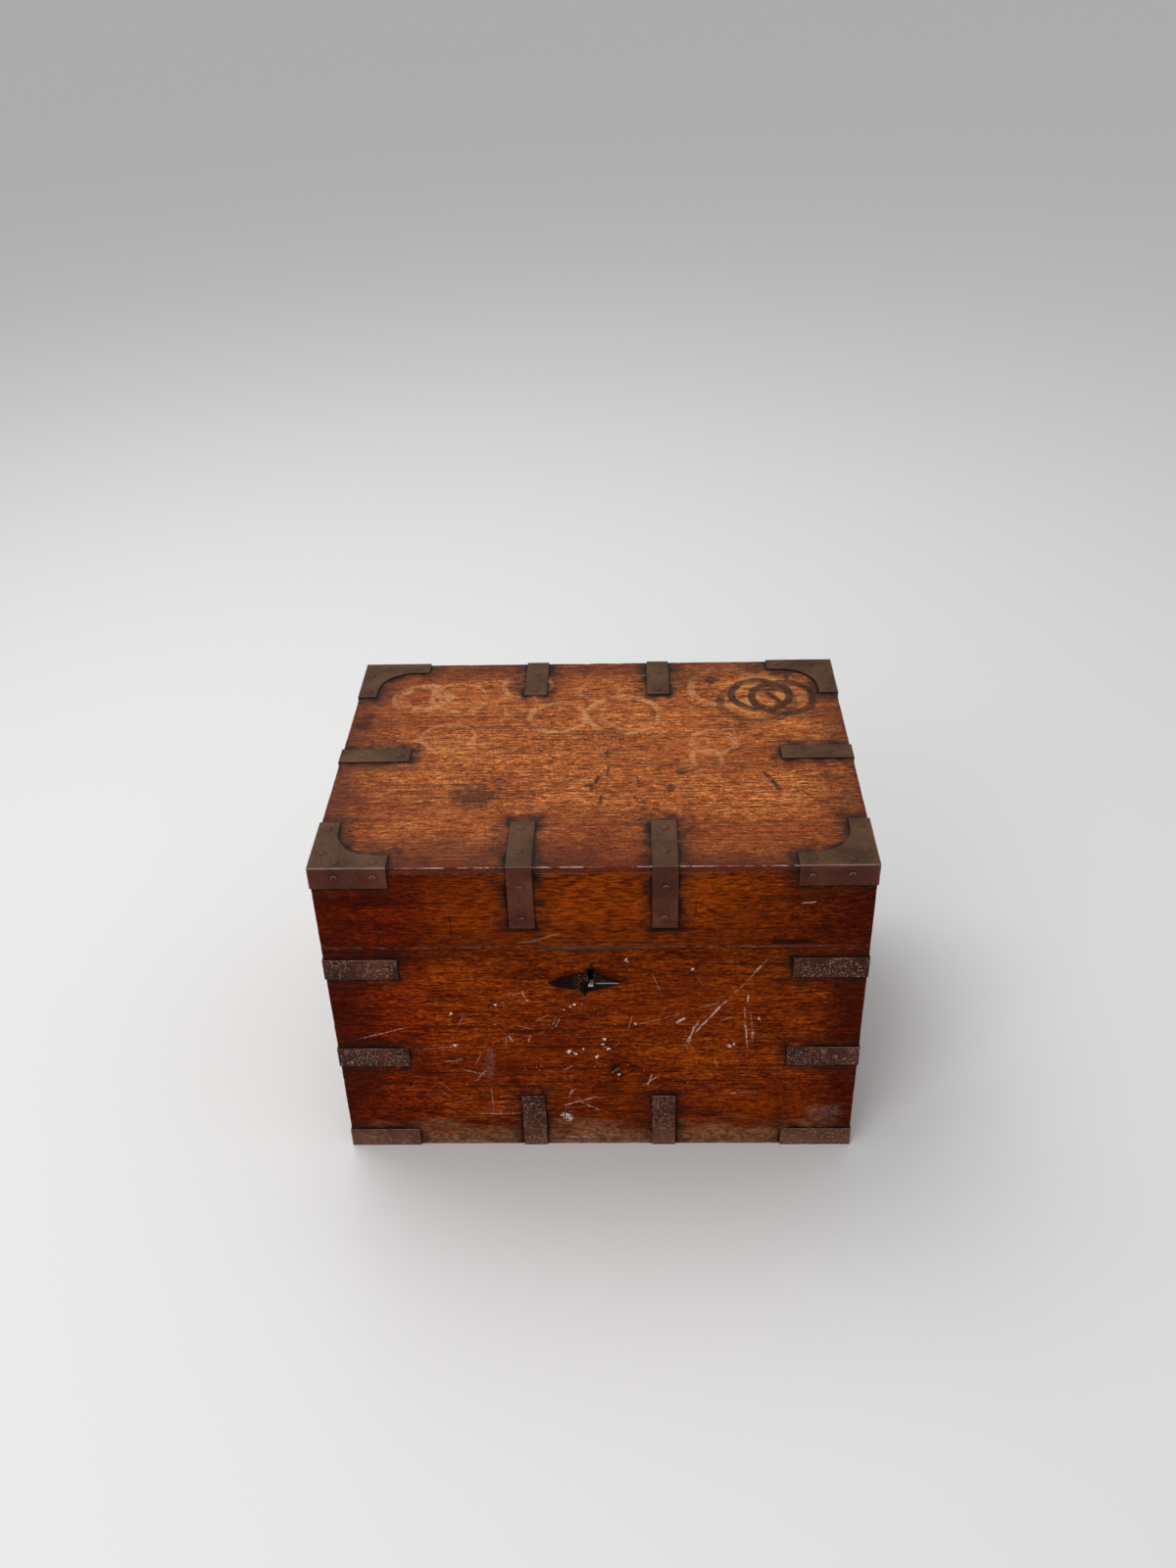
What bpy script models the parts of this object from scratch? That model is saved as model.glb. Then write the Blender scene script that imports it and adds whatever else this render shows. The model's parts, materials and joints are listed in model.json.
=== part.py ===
"""Iron-bound teak strongbox: a box of lapped boards with a deep hinged lid, strap iron nailed over
its edges, a box lock in the front, and a drop handle on each side.  Metres, +Z up, +Y to the back.
"""

import math

import bmesh
import bpy
from mathutils import Matrix, Vector

# Teak carcass
CARCASS_WIDTH = 0.5502
CARCASS_DEPTH = 0.3990
BODY_HEIGHT = 0.2865
LID_HEIGHT = 0.1002
WALL = 0.020
CORNER_LAP = 0.008
FLOOR_THICKNESS = 0.017
LID_TOP_THICKNESS = 0.016
PANEL_LIP = 0.007
JOINT_GAP = 0.0003
LID_GAP = 0.0004

# Strap iron
IRON = 0.0010
SEAT_GAP = 0.0003
STRAP_WIDTH = 0.0254
STRAP_LEG = 0.0765
STRAP_SPACING = 0.1416
BEND_RADIUS = 0.0010
UPPER_STRAP_DROP = 0.0283
MIDDLE_STRAP_HEIGHT = 0.1345

# Corner brackets
BRACKET_ARM = 0.0770
BRACKET_ARM_WIDTH = 0.0215
BRACKET_FLANGE = 0.0250
BRACKET_CURVE = 0.0400

# Strap hinges
KNUCKLE_RADIUS = 0.0055
KNUCKLE_MIDDLE = 0.0100
KNUCKLE_GAP = 0.0005
KNUCKLE_INSET = 0.0004
LEAF_OVERLAP = 0.0014
HINGE_PIN_RADIUS = 0.0029
PIN_CLEARANCE = 0.0003
PIN_HEAD_RADIUS = 0.0044
PIN_HEAD_FLAT = 0.0026
PIN_HEAD_HEIGHT = 0.0016

# Box lock
LOCK_OFFSET = -0.0045
LOCK_WIDTH = 0.1050
LOCK_HEIGHT = 0.0600
LOCK_SHEET = 0.0018
LOCK_FRONT_WOOD = 0.0062
SELVEDGE = 0.0030
COVER_MARGIN = 0.0090
COVER_SHEET = 0.0020
KEYHOLE_DROP = 0.0312
KEYHOLE_RADIUS = 0.0036
KEYHOLE_SLOT_WIDTH = 0.0058
KEYHOLE_SLOT_LENGTH = 0.0200
DRILL_PIN_RADIUS = 0.0016
RIVET_HEAD_RADIUS = 0.0032
RIVET_HEAD_FLAT = 0.0020
RIVET_HEAD_HEIGHT = 0.0012
SCREW_HEAD_RADIUS = 0.0036
SCREW_HEAD_FLAT = 0.0025
SCREW_HEAD_HEIGHT = 0.0012
SCREW_SHANK_RADIUS = 0.0015
SCREW_LENGTH = 0.0130

# Bolt, its spring and the link plate in the lid
LINK_PLATE = 0.0025
LINK_SETBACK = 0.0030
STAPLE_SPACING = 0.0500
STAPLE_THICKNESS = 0.0040
STAPLE_LIMB = 0.0020
STAPLE_DROP = 0.0160
STAPLE_CLEARANCE = 0.0007
EYE_TOP = 0.0050
EYE_HEIGHT = 0.0075
TONGUE_THICKNESS = 0.0030
TONGUE_CLEARANCE = 0.0003
TONGUE_PLAY = 0.0010
BOLT_THROW = 0.0090
BOLT_POST = 0.0060
BOLT_BAR = 0.0090
BOLT_TAIL = 0.0080
TALON_WIDTH = 0.0100
TALON_DEPTH = 0.0055
STUD_RADIUS = 0.0022
SPRING_SHEET = 0.0008
SPRING_WIDTH = 0.0040
SPRING_LENGTH = 0.0200

# Escutcheon, its outline measured from the line between its two long points
ESCUTCHEON = 0.0010
ESCUTCHEON_POINT = 0.0372
ESCUTCHEON_SHIFT = -0.0062
ESCUTCHEON_DROP = 0.0160
ESCUTCHEON_BELLY = [(-0.0300, -0.0054), (-0.0110, -0.0090), (-0.0030, -0.0116), (-0.0005, -0.0190),
                    (0.0022, -0.0116), (0.0190, -0.0086)]
ESCUTCHEON_BROW = [(0.0250, 0.0054), (0.0136, 0.0108), (0.0114, 0.0170), (0.0062, 0.0245),
                   (0.0010, 0.0170), (-0.0012, 0.0112), (-0.0130, 0.0102), (-0.0240, 0.0068)]

# Carrying handles
HANDLE_HEIGHT = 0.2130
HANDLE_PLATE_LENGTH = 0.1500
HANDLE_PLATE_HEIGHT = 0.0320
HANDLE_PLATE = 0.0025
HANDLE_ROD_RADIUS = 0.0045
HANDLE_STANDOFF = 0.0086
HANDLE_DROP = 0.0480
HANDLE_BEND = 0.0140
PINTLE_BEND = 0.0080
PINTLE_PLAY = 0.0012
EAR_SPACING = 0.1040
EAR_WIDTH = 0.0080
EAR_RADIUS = 0.0080

# Places that follow from the sizes
IRON_OUT = SEAT_GAP + IRON
BODY_BOTTOM = IRON_OUT
RIM = BODY_BOTTOM + BODY_HEIGHT
LID_RIM = RIM + LID_GAP
LID_TOP = LID_RIM + LID_HEIGHT
HINGE_OFFSET = KNUCKLE_RADIUS + KNUCKLE_GAP
HINGE_Z = RIM + LID_GAP / 2
MIDDLE_Y = (IRON_OUT - HINGE_OFFSET - KNUCKLE_RADIUS) / 2
FRONT = MIDDLE_Y - CARCASS_DEPTH / 2
BACK = MIDDLE_Y + CARCASS_DEPTH / 2
HINGE_Y = BACK + HINGE_OFFSET
SIDES = {"left": -1, "right": 1}
ENDS = {"front": -1, "back": 1}
SMOOTH_ANGLE = math.radians(35)


def side_x(side):
    """The teak's outer face on one side."""
    return SIDES[side] * CARCASS_WIDTH / 2


def end_y(end):
    """The teak's outer face at the front or the back."""
    return FRONT if end == "front" else BACK


def clear_scene():
    for obj in list(bpy.data.objects):
        bpy.data.objects.remove(obj, do_unlink=True)
    for collection in list(bpy.data.collections):
        bpy.data.collections.remove(collection)


def new_collection(name):
    collection = bpy.data.collections.new(name)
    bpy.context.scene.collection.children.link(collection)
    return collection


def new_material(name, colour, roughness, metallic):
    material = bpy.data.materials.new(name)
    material.use_nodes = True
    shader = material.node_tree.nodes["Principled BSDF"]
    shader.inputs["Base Color"].default_value = (*colour, 1.0)
    shader.inputs["Roughness"].default_value = roughness
    shader.inputs["Metallic"].default_value = metallic
    return material


clear_scene()
PARTS = new_collection("strongbox")
CUTTERS = new_collection("strongbox_cutters")
LID_TEAK = new_material("lid_teak", (0.230, 0.095, 0.034), 0.55, 0.0)
BODY_TEAK = new_material("body_teak", (0.140, 0.047, 0.015), 0.35, 0.0)
STRAP_IRON = new_material("strap_iron", (0.085, 0.052, 0.038), 0.60, 0.7)
LOCK_IRON = new_material("lock_iron", (0.060, 0.045, 0.036), 0.50, 0.8)
HANDLE_IRON = new_material("handle_iron", (0.055, 0.040, 0.032), 0.55, 0.8)
SPRING_STEEL = new_material("spring_steel", (0.180, 0.170, 0.160), 0.35, 1.0)


def pivot(name, place):
    """An empty on a joint's axis, which the pieces that move there hang from."""
    empty = bpy.data.objects.new(name, None)
    empty.empty_display_size = 0.02
    empty.location = place
    PARTS.objects.link(empty)
    return empty


def add_part(name, mesh, matrix, material, parent=None):
    """A named sub-part, placed in the world and hung from its pivot if it moves."""
    obj = bpy.data.objects.new(name, mesh)
    mesh.materials.clear()
    mesh.materials.append(material)
    PARTS.objects.link(obj)
    if parent is not None:
        obj.parent = parent
        obj.matrix_parent_inverse = Matrix.Translation(parent.location).inverted()
    obj.matrix_basis = matrix
    return obj


def add_cutter(name, mesh, matrix):
    obj = bpy.data.objects.new(name, mesh)
    obj.hide_render = True
    obj.display_type = "WIRE"
    obj.matrix_basis = matrix
    CUTTERS.objects.link(obj)
    return obj


def combine(target, cutter, operation):
    modifier = target.modifiers.new(f"{operation.lower()} {cutter.name}", "BOOLEAN")
    modifier.operation = operation
    modifier.solver = "EXACT"
    modifier.object = cutter


def smooth(mesh):
    mesh.shade_smooth()
    mesh.set_sharp_from_angle(angle=SMOOTH_ANGLE)


def block_mesh(name, size):
    mesh = bpy.data.meshes.new(name)
    bm = bmesh.new()
    bmesh.ops.create_cube(bm, size=1.0, matrix=Matrix.Diagonal((*size, 1.0)))
    bm.to_mesh(mesh)
    bm.free()
    return mesh


def block(name, low, high):
    """A block's mesh and its place, from two opposite corners."""
    low = Vector(low)
    high = Vector(high)
    return block_mesh(name, high - low), Matrix.Translation((low + high) / 2)


def bar_mesh(name, radius, length, sides=24):
    """A round bar along local X."""
    mesh = bpy.data.meshes.new(name)
    bm = bmesh.new()
    bmesh.ops.create_cone(bm, cap_ends=True, segments=sides, radius1=radius, radius2=radius, depth=length,
                          matrix=Matrix.Rotation(math.pi / 2, 4, "Y"))
    bm.to_mesh(mesh)
    bm.free()
    smooth(mesh)
    return mesh


ALONG_X = Matrix.Identity(4)
ALONG_Y = Matrix.Rotation(math.pi / 2, 4, "Z")


def bar(name, middle, axis, radius, length, sides=24):
    return bar_mesh(name, radius, length, sides), Matrix.Translation(middle) @ axis


def evaluated_mesh(obj):
    """The object's mesh with its modifiers applied and its caps welded; the object is removed."""
    graph = bpy.context.evaluated_depsgraph_get()
    mesh = bpy.data.meshes.new_from_object(obj.evaluated_get(graph))
    bm = bmesh.new()
    bm.from_mesh(mesh)
    bmesh.ops.remove_doubles(bm, verts=bm.verts, dist=1e-6)
    bmesh.ops.recalc_face_normals(bm, faces=bm.faces)
    bm.to_mesh(mesh)
    bm.free()
    mesh.name = obj.name
    bpy.data.objects.remove(obj, do_unlink=True)
    return mesh


def new_curve(name, points, dimensions, closed):
    curve = bpy.data.curves.new(name, "CURVE")
    curve.dimensions = dimensions
    spline = curve.splines.new("POLY")
    spline.points.add(len(points) - 1)
    for point, place in zip(spline.points, points):
        point.co = (*place, *([0.0] * (3 - len(place))), 1.0)
    spline.use_cyclic_u = closed
    obj = bpy.data.objects.new(name, curve)
    CUTTERS.objects.link(obj)
    return obj


def plate_mesh(name, outline, thickness):
    """A flat outline in local X and Y, as thick as given along local Z."""
    obj = new_curve(name, outline, "2D", True)
    obj.data.fill_mode = "BOTH"
    obj.data.extrude = thickness / 2
    return evaluated_mesh(obj)


def rod_mesh(name, path, radius):
    obj = new_curve(name, path, "3D", False)
    obj.data.bevel_depth = radius
    obj.data.bevel_resolution = 2
    obj.data.use_fill_caps = True
    mesh = evaluated_mesh(obj)
    smooth(mesh)
    return mesh


def turned_mesh(name, profile, steps=16):
    """A profile of (radius, height), top to bottom, turned about local Z."""
    mesh = bpy.data.meshes.new(name)
    bm = bmesh.new()
    verts = [bm.verts.new((radius, 0.0, height)) for radius, height in profile]
    for first, second in zip(verts, verts[1:]):
        bm.edges.new((first, second))
    bm.to_mesh(mesh)
    bm.free()
    obj = bpy.data.objects.new(name, mesh)
    CUTTERS.objects.link(obj)
    screw = obj.modifiers.new("turn", "SCREW")
    screw.steps = steps
    screw.render_steps = steps
    screw.use_merge_vertices = True
    screw.merge_threshold = 1e-6
    turned = evaluated_mesh(obj)
    smooth(turned)
    return turned


def arc(centre, radius, start, end, steps):
    """Points on an arc between two angles in degrees."""
    angles = [math.radians(start + (end - start) * step / steps) for step in range(steps + 1)]
    return [(centre[0] + radius * math.cos(a), centre[1] + radius * math.sin(a)) for a in angles]


def axes(place, first, second):
    """A place whose local X and Y lie along two given directions."""
    first = Vector(first)
    second = Vector(second)
    third = first.cross(second)
    turn = Matrix((first, second, third)).transposed()
    return Matrix.Translation(place) @ turn.to_4x4()


def edge_strap_mesh(name, leg_a, leg_b):
    """Strap iron bent over a teak edge at the local origin, its legs along local X and Y."""
    end_a = leg_a - IRON_OUT
    end_b = leg_b - IRON_OUT
    bend = (BEND_RADIUS - IRON_OUT, BEND_RADIUS - IRON_OUT)
    outline = [(end_a, -IRON_OUT), (end_a, -SEAT_GAP), (-SEAT_GAP, -SEAT_GAP), (-SEAT_GAP, end_b),
               (-IRON_OUT, end_b)]
    outline += arc(bend, BEND_RADIUS, 180, 270, 4)
    return plate_mesh(name, outline, STRAP_WIDTH)


def panel_mesh(name, width, depth, thickness, lip):
    """A board with its edge rebated all round: the lip below, the part between the walls above."""
    mesh = bpy.data.meshes.new(name)
    bm = bmesh.new()
    bmesh.ops.create_cube(bm, size=1.0, matrix=Matrix.Translation((0, 0, lip / 2))
                          @ Matrix.Diagonal((width, depth, lip, 1.0)))
    top = [face for face in bm.faces if face.normal.z > 0.5]
    bmesh.ops.inset_region(bm, faces=top, thickness=WALL + JOINT_GAP, use_even_offset=True)
    raised = bmesh.ops.extrude_face_region(bm, geom=top)
    lifted = [item for item in raised["geom"] if isinstance(item, bmesh.types.BMVert)]
    bmesh.ops.translate(bm, verts=lifted, vec=(0, 0, thickness - lip))
    bmesh.ops.delete(bm, geom=[face for face in top if face.is_valid], context="FACES")
    bmesh.ops.recalc_face_normals(bm, faces=bm.faces)
    bm.to_mesh(mesh)
    bm.free()
    return mesh


def lapped_board(name, end, bottom, top, material, parent=None):
    """A front or back board, rebated at both ends to cover the side boards."""
    inward = -ENDS[end]
    half = CARCASS_WIDTH / 2
    inner = half - WALL - JOINT_GAP
    outline = [(-half, 0), (half, 0), (half, CORNER_LAP), (inner, CORNER_LAP), (inner, WALL),
               (-inner, WALL), (-inner, CORNER_LAP), (-half, CORNER_LAP)]
    outline = [(x, y * inward) for x, y in outline]
    mesh = plate_mesh(name, outline, top - bottom)
    return add_part(name, mesh, Matrix.Translation((0, end_y(end), (bottom + top) / 2)), material, parent)


def side_board(name, side, bottom, top, material, parent=None):
    """A side board, its ends let into the rebates of the front and back boards."""
    outer = side_x(side)
    inner = outer - SIDES[side] * WALL
    lap = CORNER_LAP + JOINT_GAP
    mesh, place = block(name, (min(outer, inner), FRONT + lap, bottom), (max(outer, inner), BACK - lap, top))
    return add_part(name, mesh, place, material, parent)


LID_PIVOT = pivot("lid_pivot", (0, HINGE_Y, HINGE_Z))
BOLT_PIVOT = pivot("bolt_slide", (LOCK_OFFSET, FRONT + WALL / 2, RIM - STAPLE_DROP))


def build_body():
    bottom = BODY_BOTTOM + PANEL_LIP + JOINT_GAP
    floor = panel_mesh("body_floor", CARCASS_WIDTH, CARCASS_DEPTH, FLOOR_THICKNESS, PANEL_LIP)
    add_part("body_floor", floor, Matrix.Translation((0, MIDDLE_Y, BODY_BOTTOM)), BODY_TEAK)
    for end in ENDS:
        lapped_board(f"body_{end}", end, bottom, RIM, BODY_TEAK)
    for side in SIDES:
        side_board(f"body_{side}", side, bottom, RIM, BODY_TEAK)


def build_lid():
    top = LID_TOP - PANEL_LIP - JOINT_GAP
    panel = panel_mesh("lid_top", CARCASS_WIDTH, CARCASS_DEPTH, LID_TOP_THICKNESS, PANEL_LIP)
    turned_over = Matrix.Translation((0, MIDDLE_Y, LID_TOP)) @ Matrix.Rotation(math.pi, 4, "X")
    add_part("lid_top", panel, turned_over, LID_TEAK, LID_PIVOT)
    for end in ENDS:
        lapped_board(f"lid_{end}", end, LID_RIM, top, LID_TEAK, LID_PIVOT)
    for side in SIDES:
        side_board(f"lid_{side}", side, LID_RIM, top, LID_TEAK, LID_PIVOT)


def bracket_mesh():
    """One corner bracket over a teak corner at the local origin, its arms along +X, +Y and +Z:
    three faces of a block, thickened outwards, with a hollow curve between the two long arms."""
    arm = BRACKET_ARM - IRON_OUT
    flange = BRACKET_FLANGE - IRON_OUT
    mesh = bpy.data.meshes.new("bracket_sheet")
    bm = bmesh.new()
    size = (arm + SEAT_GAP, arm + SEAT_GAP, flange + SEAT_GAP)
    middle = Vector(size) / 2 - Vector((SEAT_GAP, SEAT_GAP, SEAT_GAP))
    bmesh.ops.create_cube(bm, size=1.0, matrix=Matrix.Translation(middle) @ Matrix.Diagonal((*size, 1.0)))
    inner = [face for face in bm.faces if sum(face.normal) > 0.5]
    bmesh.ops.delete(bm, geom=inner, context="FACES")
    bm.to_mesh(mesh)
    bm.free()
    sheet = bpy.data.objects.new("bracket_sheet", mesh)
    CUTTERS.objects.link(sheet)
    thicken = sheet.modifiers.new("thicken", "SOLIDIFY")
    thicken.thickness = IRON
    thicken.offset = 1.0
    thicken.use_even_offset = True
    thicken.use_quality_normals = True

    near = BRACKET_ARM_WIDTH - IRON_OUT
    far = 2 * BRACKET_ARM
    hollow = [(far, near), (far, far), (near, far)]
    hollow += arc((near + BRACKET_CURVE, near + BRACKET_CURVE), BRACKET_CURVE, 180, 270, 8)
    cutter = add_cutter("bracket_hollow", plate_mesh("bracket_hollow", hollow, 4 * IRON_OUT), ALONG_X)
    combine(sheet, cutter, "DIFFERENCE")
    bracket = evaluated_mesh(sheet)
    bpy.data.objects.remove(cutter, do_unlink=True)
    return bracket


def build_brackets():
    pattern = bracket_mesh()
    levels = {"lid_corner": (LID_TOP, -1, LID_PIVOT), "bottom_corner": (BODY_BOTTOM, 1, None)}
    for level, (height, upward, parent) in levels.items():
        for end in ENDS:
            for side in SIDES:
                mesh = pattern.copy()
                inward = (-SIDES[side], -ENDS[end], upward)
                mesh.transform(Matrix.Diagonal((*inward, 1.0)))
                if math.prod(inward) < 0:
                    mesh.flip_normals()
                place = Matrix.Translation((side_x(side), end_y(end), height))
                add_part(f"{level}_{end}_{side}", mesh, place, STRAP_IRON, parent)
    bpy.data.meshes.remove(pattern)


def build_straps():
    """Plain straps, each bent over one edge of the box."""
    pattern = edge_strap_mesh("strap", STRAP_LEG, STRAP_LEG)
    for side, sign in SIDES.items():
        x = sign * STRAP_SPACING / 2
        place = axes((x, FRONT, LID_TOP), (0, 1, 0), (0, 0, -1))
        add_part(f"lid_strap_front_{side}", pattern.copy(), place, STRAP_IRON, LID_PIVOT)
        place = axes((side_x(side), MIDDLE_Y, LID_TOP), (-sign, 0, 0), (0, 0, -1))
        add_part(f"lid_strap_{side}", pattern.copy(), place, STRAP_IRON, LID_PIVOT)
        place = axes((side_x(side), MIDDLE_Y, BODY_BOTTOM), (-sign, 0, 0), (0, 0, 1))
        add_part(f"bottom_strap_{side}", pattern.copy(), place, STRAP_IRON)
        for end, outward in ENDS.items():
            place = axes((x, end_y(end), BODY_BOTTOM), (0, -outward, 0), (0, 0, 1))
            add_part(f"bottom_strap_{end}_{side}", pattern.copy(), place, STRAP_IRON)
            rows = {"upper": RIM - UPPER_STRAP_DROP, "middle": BODY_BOTTOM + MIDDLE_STRAP_HEIGHT}
            for row, height in rows.items():
                place = axes((side_x(side), end_y(end), height), (-sign, 0, 0), (0, -outward, 0))
                add_part(f"{row}_strap_{end}_{side}", pattern.copy(), place, STRAP_IRON)
    bpy.data.meshes.remove(pattern)


def build_hinges():
    """Strap hinges on the back: the lid leaf runs up and over the lid's back edge."""
    outer_length = (STRAP_WIDTH - KNUCKLE_MIDDLE) / 2 - KNUCKLE_GAP - KNUCKLE_INSET
    outer_place = (STRAP_WIDTH - outer_length) / 2 - KNUCKLE_INSET
    pin_hole = HINGE_PIN_RADIUS + PIN_CLEARANCE
    clear_radius = KNUCKLE_RADIUS + KNUCKLE_GAP
    lid_leg = LID_TOP - HINGE_Z - LEAF_OVERLAP + IRON_OUT
    for side, sign in SIDES.items():
        x = sign * STRAP_SPACING / 2
        lid_mesh = edge_strap_mesh(f"hinge_lid_leaf_{side}", STRAP_LEG, lid_leg)
        lid_place = axes((x, BACK, LID_TOP), (0, -1, 0), (0, 0, -1))
        lid_leaf = add_part(f"hinge_lid_leaf_{side}", lid_mesh, lid_place, STRAP_IRON, LID_PIVOT)
        body_mesh, body_place = block(f"hinge_body_leaf_{side}",
                                      (x - STRAP_WIDTH / 2, BACK + SEAT_GAP, HINGE_Z - STRAP_LEG),
                                      (x + STRAP_WIDTH / 2, BACK + IRON_OUT, HINGE_Z - LEAF_OVERLAP))
        body_leaf = add_part(f"hinge_body_leaf_{side}", body_mesh, body_place, STRAP_IRON)

        middle = (x, HINGE_Y, HINGE_Z)
        knuckle = add_cutter(f"lid_knuckle_{side}", *bar("knuckle", middle, ALONG_X, KNUCKLE_RADIUS,
                                                         KNUCKLE_MIDDLE))
        combine(lid_leaf, knuckle, "UNION")
        room = add_cutter(f"lid_knuckle_room_{side}", *bar("room", middle, ALONG_X, clear_radius,
                                                           KNUCKLE_MIDDLE + 2 * KNUCKLE_GAP))
        for end, shift in (("a", -outer_place), ("b", outer_place)):
            place = (x + shift, HINGE_Y, HINGE_Z)
            outer = add_cutter(f"body_knuckle_{side}_{end}",
                               *bar("knuckle", place, ALONG_X, KNUCKLE_RADIUS, outer_length))
            combine(body_leaf, outer, "UNION")
            outer_room = add_cutter(f"body_knuckle_room_{side}_{end}",
                                    *bar("room", place, ALONG_X, clear_radius,
                                         outer_length + 2 * KNUCKLE_GAP))
            combine(lid_leaf, outer_room, "DIFFERENCE")
        combine(body_leaf, room, "DIFFERENCE")
        bore = add_cutter(f"hinge_bore_{side}", *bar("bore", middle, ALONG_X, pin_hole, 2 * STRAP_WIDTH))
        combine(lid_leaf, bore, "DIFFERENCE")
        combine(body_leaf, bore, "DIFFERENCE")

        reach = STRAP_WIDTH / 2 + SEAT_GAP
        end = reach + PIN_HEAD_HEIGHT
        profile = [(0, end), (PIN_HEAD_FLAT, end), (PIN_HEAD_RADIUS, reach + PIN_HEAD_HEIGHT / 2),
                   (PIN_HEAD_RADIUS, reach), (HINGE_PIN_RADIUS, reach)]
        profile += [(radius, -height) for radius, height in reversed(profile)]
        place = Matrix.Translation(middle) @ Matrix.Rotation(math.pi / 2, 4, "Y")
        add_part(f"hinge_pin_{side}", turned_mesh(f"hinge_pin_{side}", profile), place, STRAP_IRON)


# Lock places: the case lies in a mortise from the inside, its selvedge across the board's top edge
LOCK_LEFT = LOCK_OFFSET - LOCK_WIDTH / 2
LOCK_RIGHT = LOCK_OFFSET + LOCK_WIDTH / 2
LOCK_BOTTOM = RIM - LOCK_HEIGHT
INNER_FACE = FRONT + WALL
CASE_FRONT = FRONT + LOCK_FRONT_WOOD + SEAT_GAP
CASE_ROOM = CASE_FRONT + LOCK_SHEET
STAPLE_FRONT = CASE_ROOM + STAPLE_CLEARANCE
EYE_FRONT = STAPLE_FRONT + STAPLE_LIMB
EYE_BACK = EYE_FRONT + TONGUE_THICKNESS + 2 * TONGUE_CLEARANCE
STAPLE_BACK = EYE_BACK + STAPLE_LIMB
TONGUE_FRONT = EYE_FRONT + TONGUE_CLEARANCE
TONGUE_BACK = EYE_BACK - TONGUE_CLEARANCE
KEYHOLE_Z = RIM - KEYHOLE_DROP
BAR_TOP = RIM - STAPLE_DROP - TONGUE_PLAY
BAR_BOTTOM = BAR_TOP - BOLT_BAR


def keyhole_cutters():
    """The keyhole's round and its slot, right through the front as far as the lock's inside."""
    depth = WALL
    middle = (LOCK_OFFSET, FRONT, KEYHOLE_Z)
    hole = add_cutter("keyhole_round", *bar("keyhole_round", middle, ALONG_Y, KEYHOLE_RADIUS, depth))
    low = (LOCK_OFFSET - KEYHOLE_SLOT_WIDTH / 2, FRONT - depth / 2, KEYHOLE_Z - KEYHOLE_SLOT_LENGTH)
    high = (LOCK_OFFSET + KEYHOLE_SLOT_WIDTH / 2, FRONT + depth / 2, KEYHOLE_Z)
    slot = add_cutter("keyhole_slot", *block("keyhole_slot", low, high))
    combine(hole, slot, "UNION")
    return hole


def build_escutcheon(keyhole):
    """A flat lens of iron with a pointed rise over the keyhole and a small tail below."""
    outline = [(-ESCUTCHEON_POINT, 0.0), *ESCUTCHEON_BELLY, (ESCUTCHEON_POINT, 0.0), *ESCUTCHEON_BROW]
    mesh = plate_mesh("escutcheon", outline, ESCUTCHEON)
    middle_x = LOCK_OFFSET + ESCUTCHEON_SHIFT
    middle_z = KEYHOLE_Z - ESCUTCHEON_DROP
    place = axes((middle_x, FRONT - SEAT_GAP - ESCUTCHEON / 2, middle_z), (1, 0, 0), (0, 0, 1))
    plate = add_part("escutcheon", mesh, place, STRAP_IRON)
    combine(plate, keyhole, "DIFFERENCE")


def lock_mortise():
    """The hollow cut in the front board for the lock, and the step for its selvedge."""
    gap = SEAT_GAP
    low = (LOCK_LEFT - gap, FRONT + LOCK_FRONT_WOOD, LOCK_BOTTOM - gap)
    high = (LOCK_RIGHT + gap, INNER_FACE + WALL, RIM + WALL)
    hollow = add_cutter("lock_hollow", *block("lock_hollow", low, high))
    low = (LOCK_LEFT - gap, FRONT - WALL, RIM - SELVEDGE - gap)
    high = (LOCK_RIGHT + gap, INNER_FACE + WALL, RIM + WALL)
    step = add_cutter("selvedge_step", *block("selvedge_step", low, high))
    combine(hollow, step, "UNION")
    return hollow


def lock_case(keyhole):
    """A tray of sheet iron open to the inside, with the selvedge across its top."""
    low = Vector((LOCK_LEFT, CASE_FRONT, LOCK_BOTTOM))
    high = Vector((LOCK_RIGHT, INNER_FACE, RIM - SELVEDGE / 2))
    mesh, place = block("lock_case", low, high)
    case = add_part("lock_case", mesh, place, LOCK_IRON)
    wall = Vector((LOCK_SHEET, 0, LOCK_SHEET))
    room_low = Vector((low.x, CASE_ROOM, low.z)) + wall
    room_high = Vector((high.x - LOCK_SHEET, INNER_FACE + WALL, RIM - SELVEDGE))
    room = add_cutter("lock_room", *block("lock_room", room_low, room_high))
    combine(case, room, "DIFFERENCE")
    low = (LOCK_LEFT, FRONT, RIM - SELVEDGE)
    high = (LOCK_RIGHT, INNER_FACE, RIM)
    selvedge = add_cutter("selvedge", *block("selvedge", low, high))
    combine(case, selvedge, "UNION")
    for name, x in staple_places():
        half = STAPLE_THICKNESS / 2 + STAPLE_CLEARANCE
        low = (x - half, STAPLE_FRONT - STAPLE_CLEARANCE, RIM - 2 * SELVEDGE)
        high = (x + half, STAPLE_BACK + STAPLE_CLEARANCE, RIM + SELVEDGE)
        slot = add_cutter(f"staple_slot_{name}", *block("staple_slot", low, high))
        combine(case, slot, "DIFFERENCE")
    stud_back = TONGUE_BACK
    for name, u in (("left", bolt_left() + BOLT_POST), ("right", bolt_right() - BOLT_POST)):
        length = stud_back - CASE_ROOM + LOCK_SHEET / 2
        place = (LOCK_OFFSET + u, stud_back - length / 2, BAR_BOTTOM - SEAT_GAP - STUD_RADIUS)
        stud = add_cutter(f"bolt_stud_{name}", *bar("stud", place, ALONG_Y, STUD_RADIUS, length, 12))
        combine(case, stud, "UNION")
    combine(case, keyhole, "DIFFERENCE")


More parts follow.
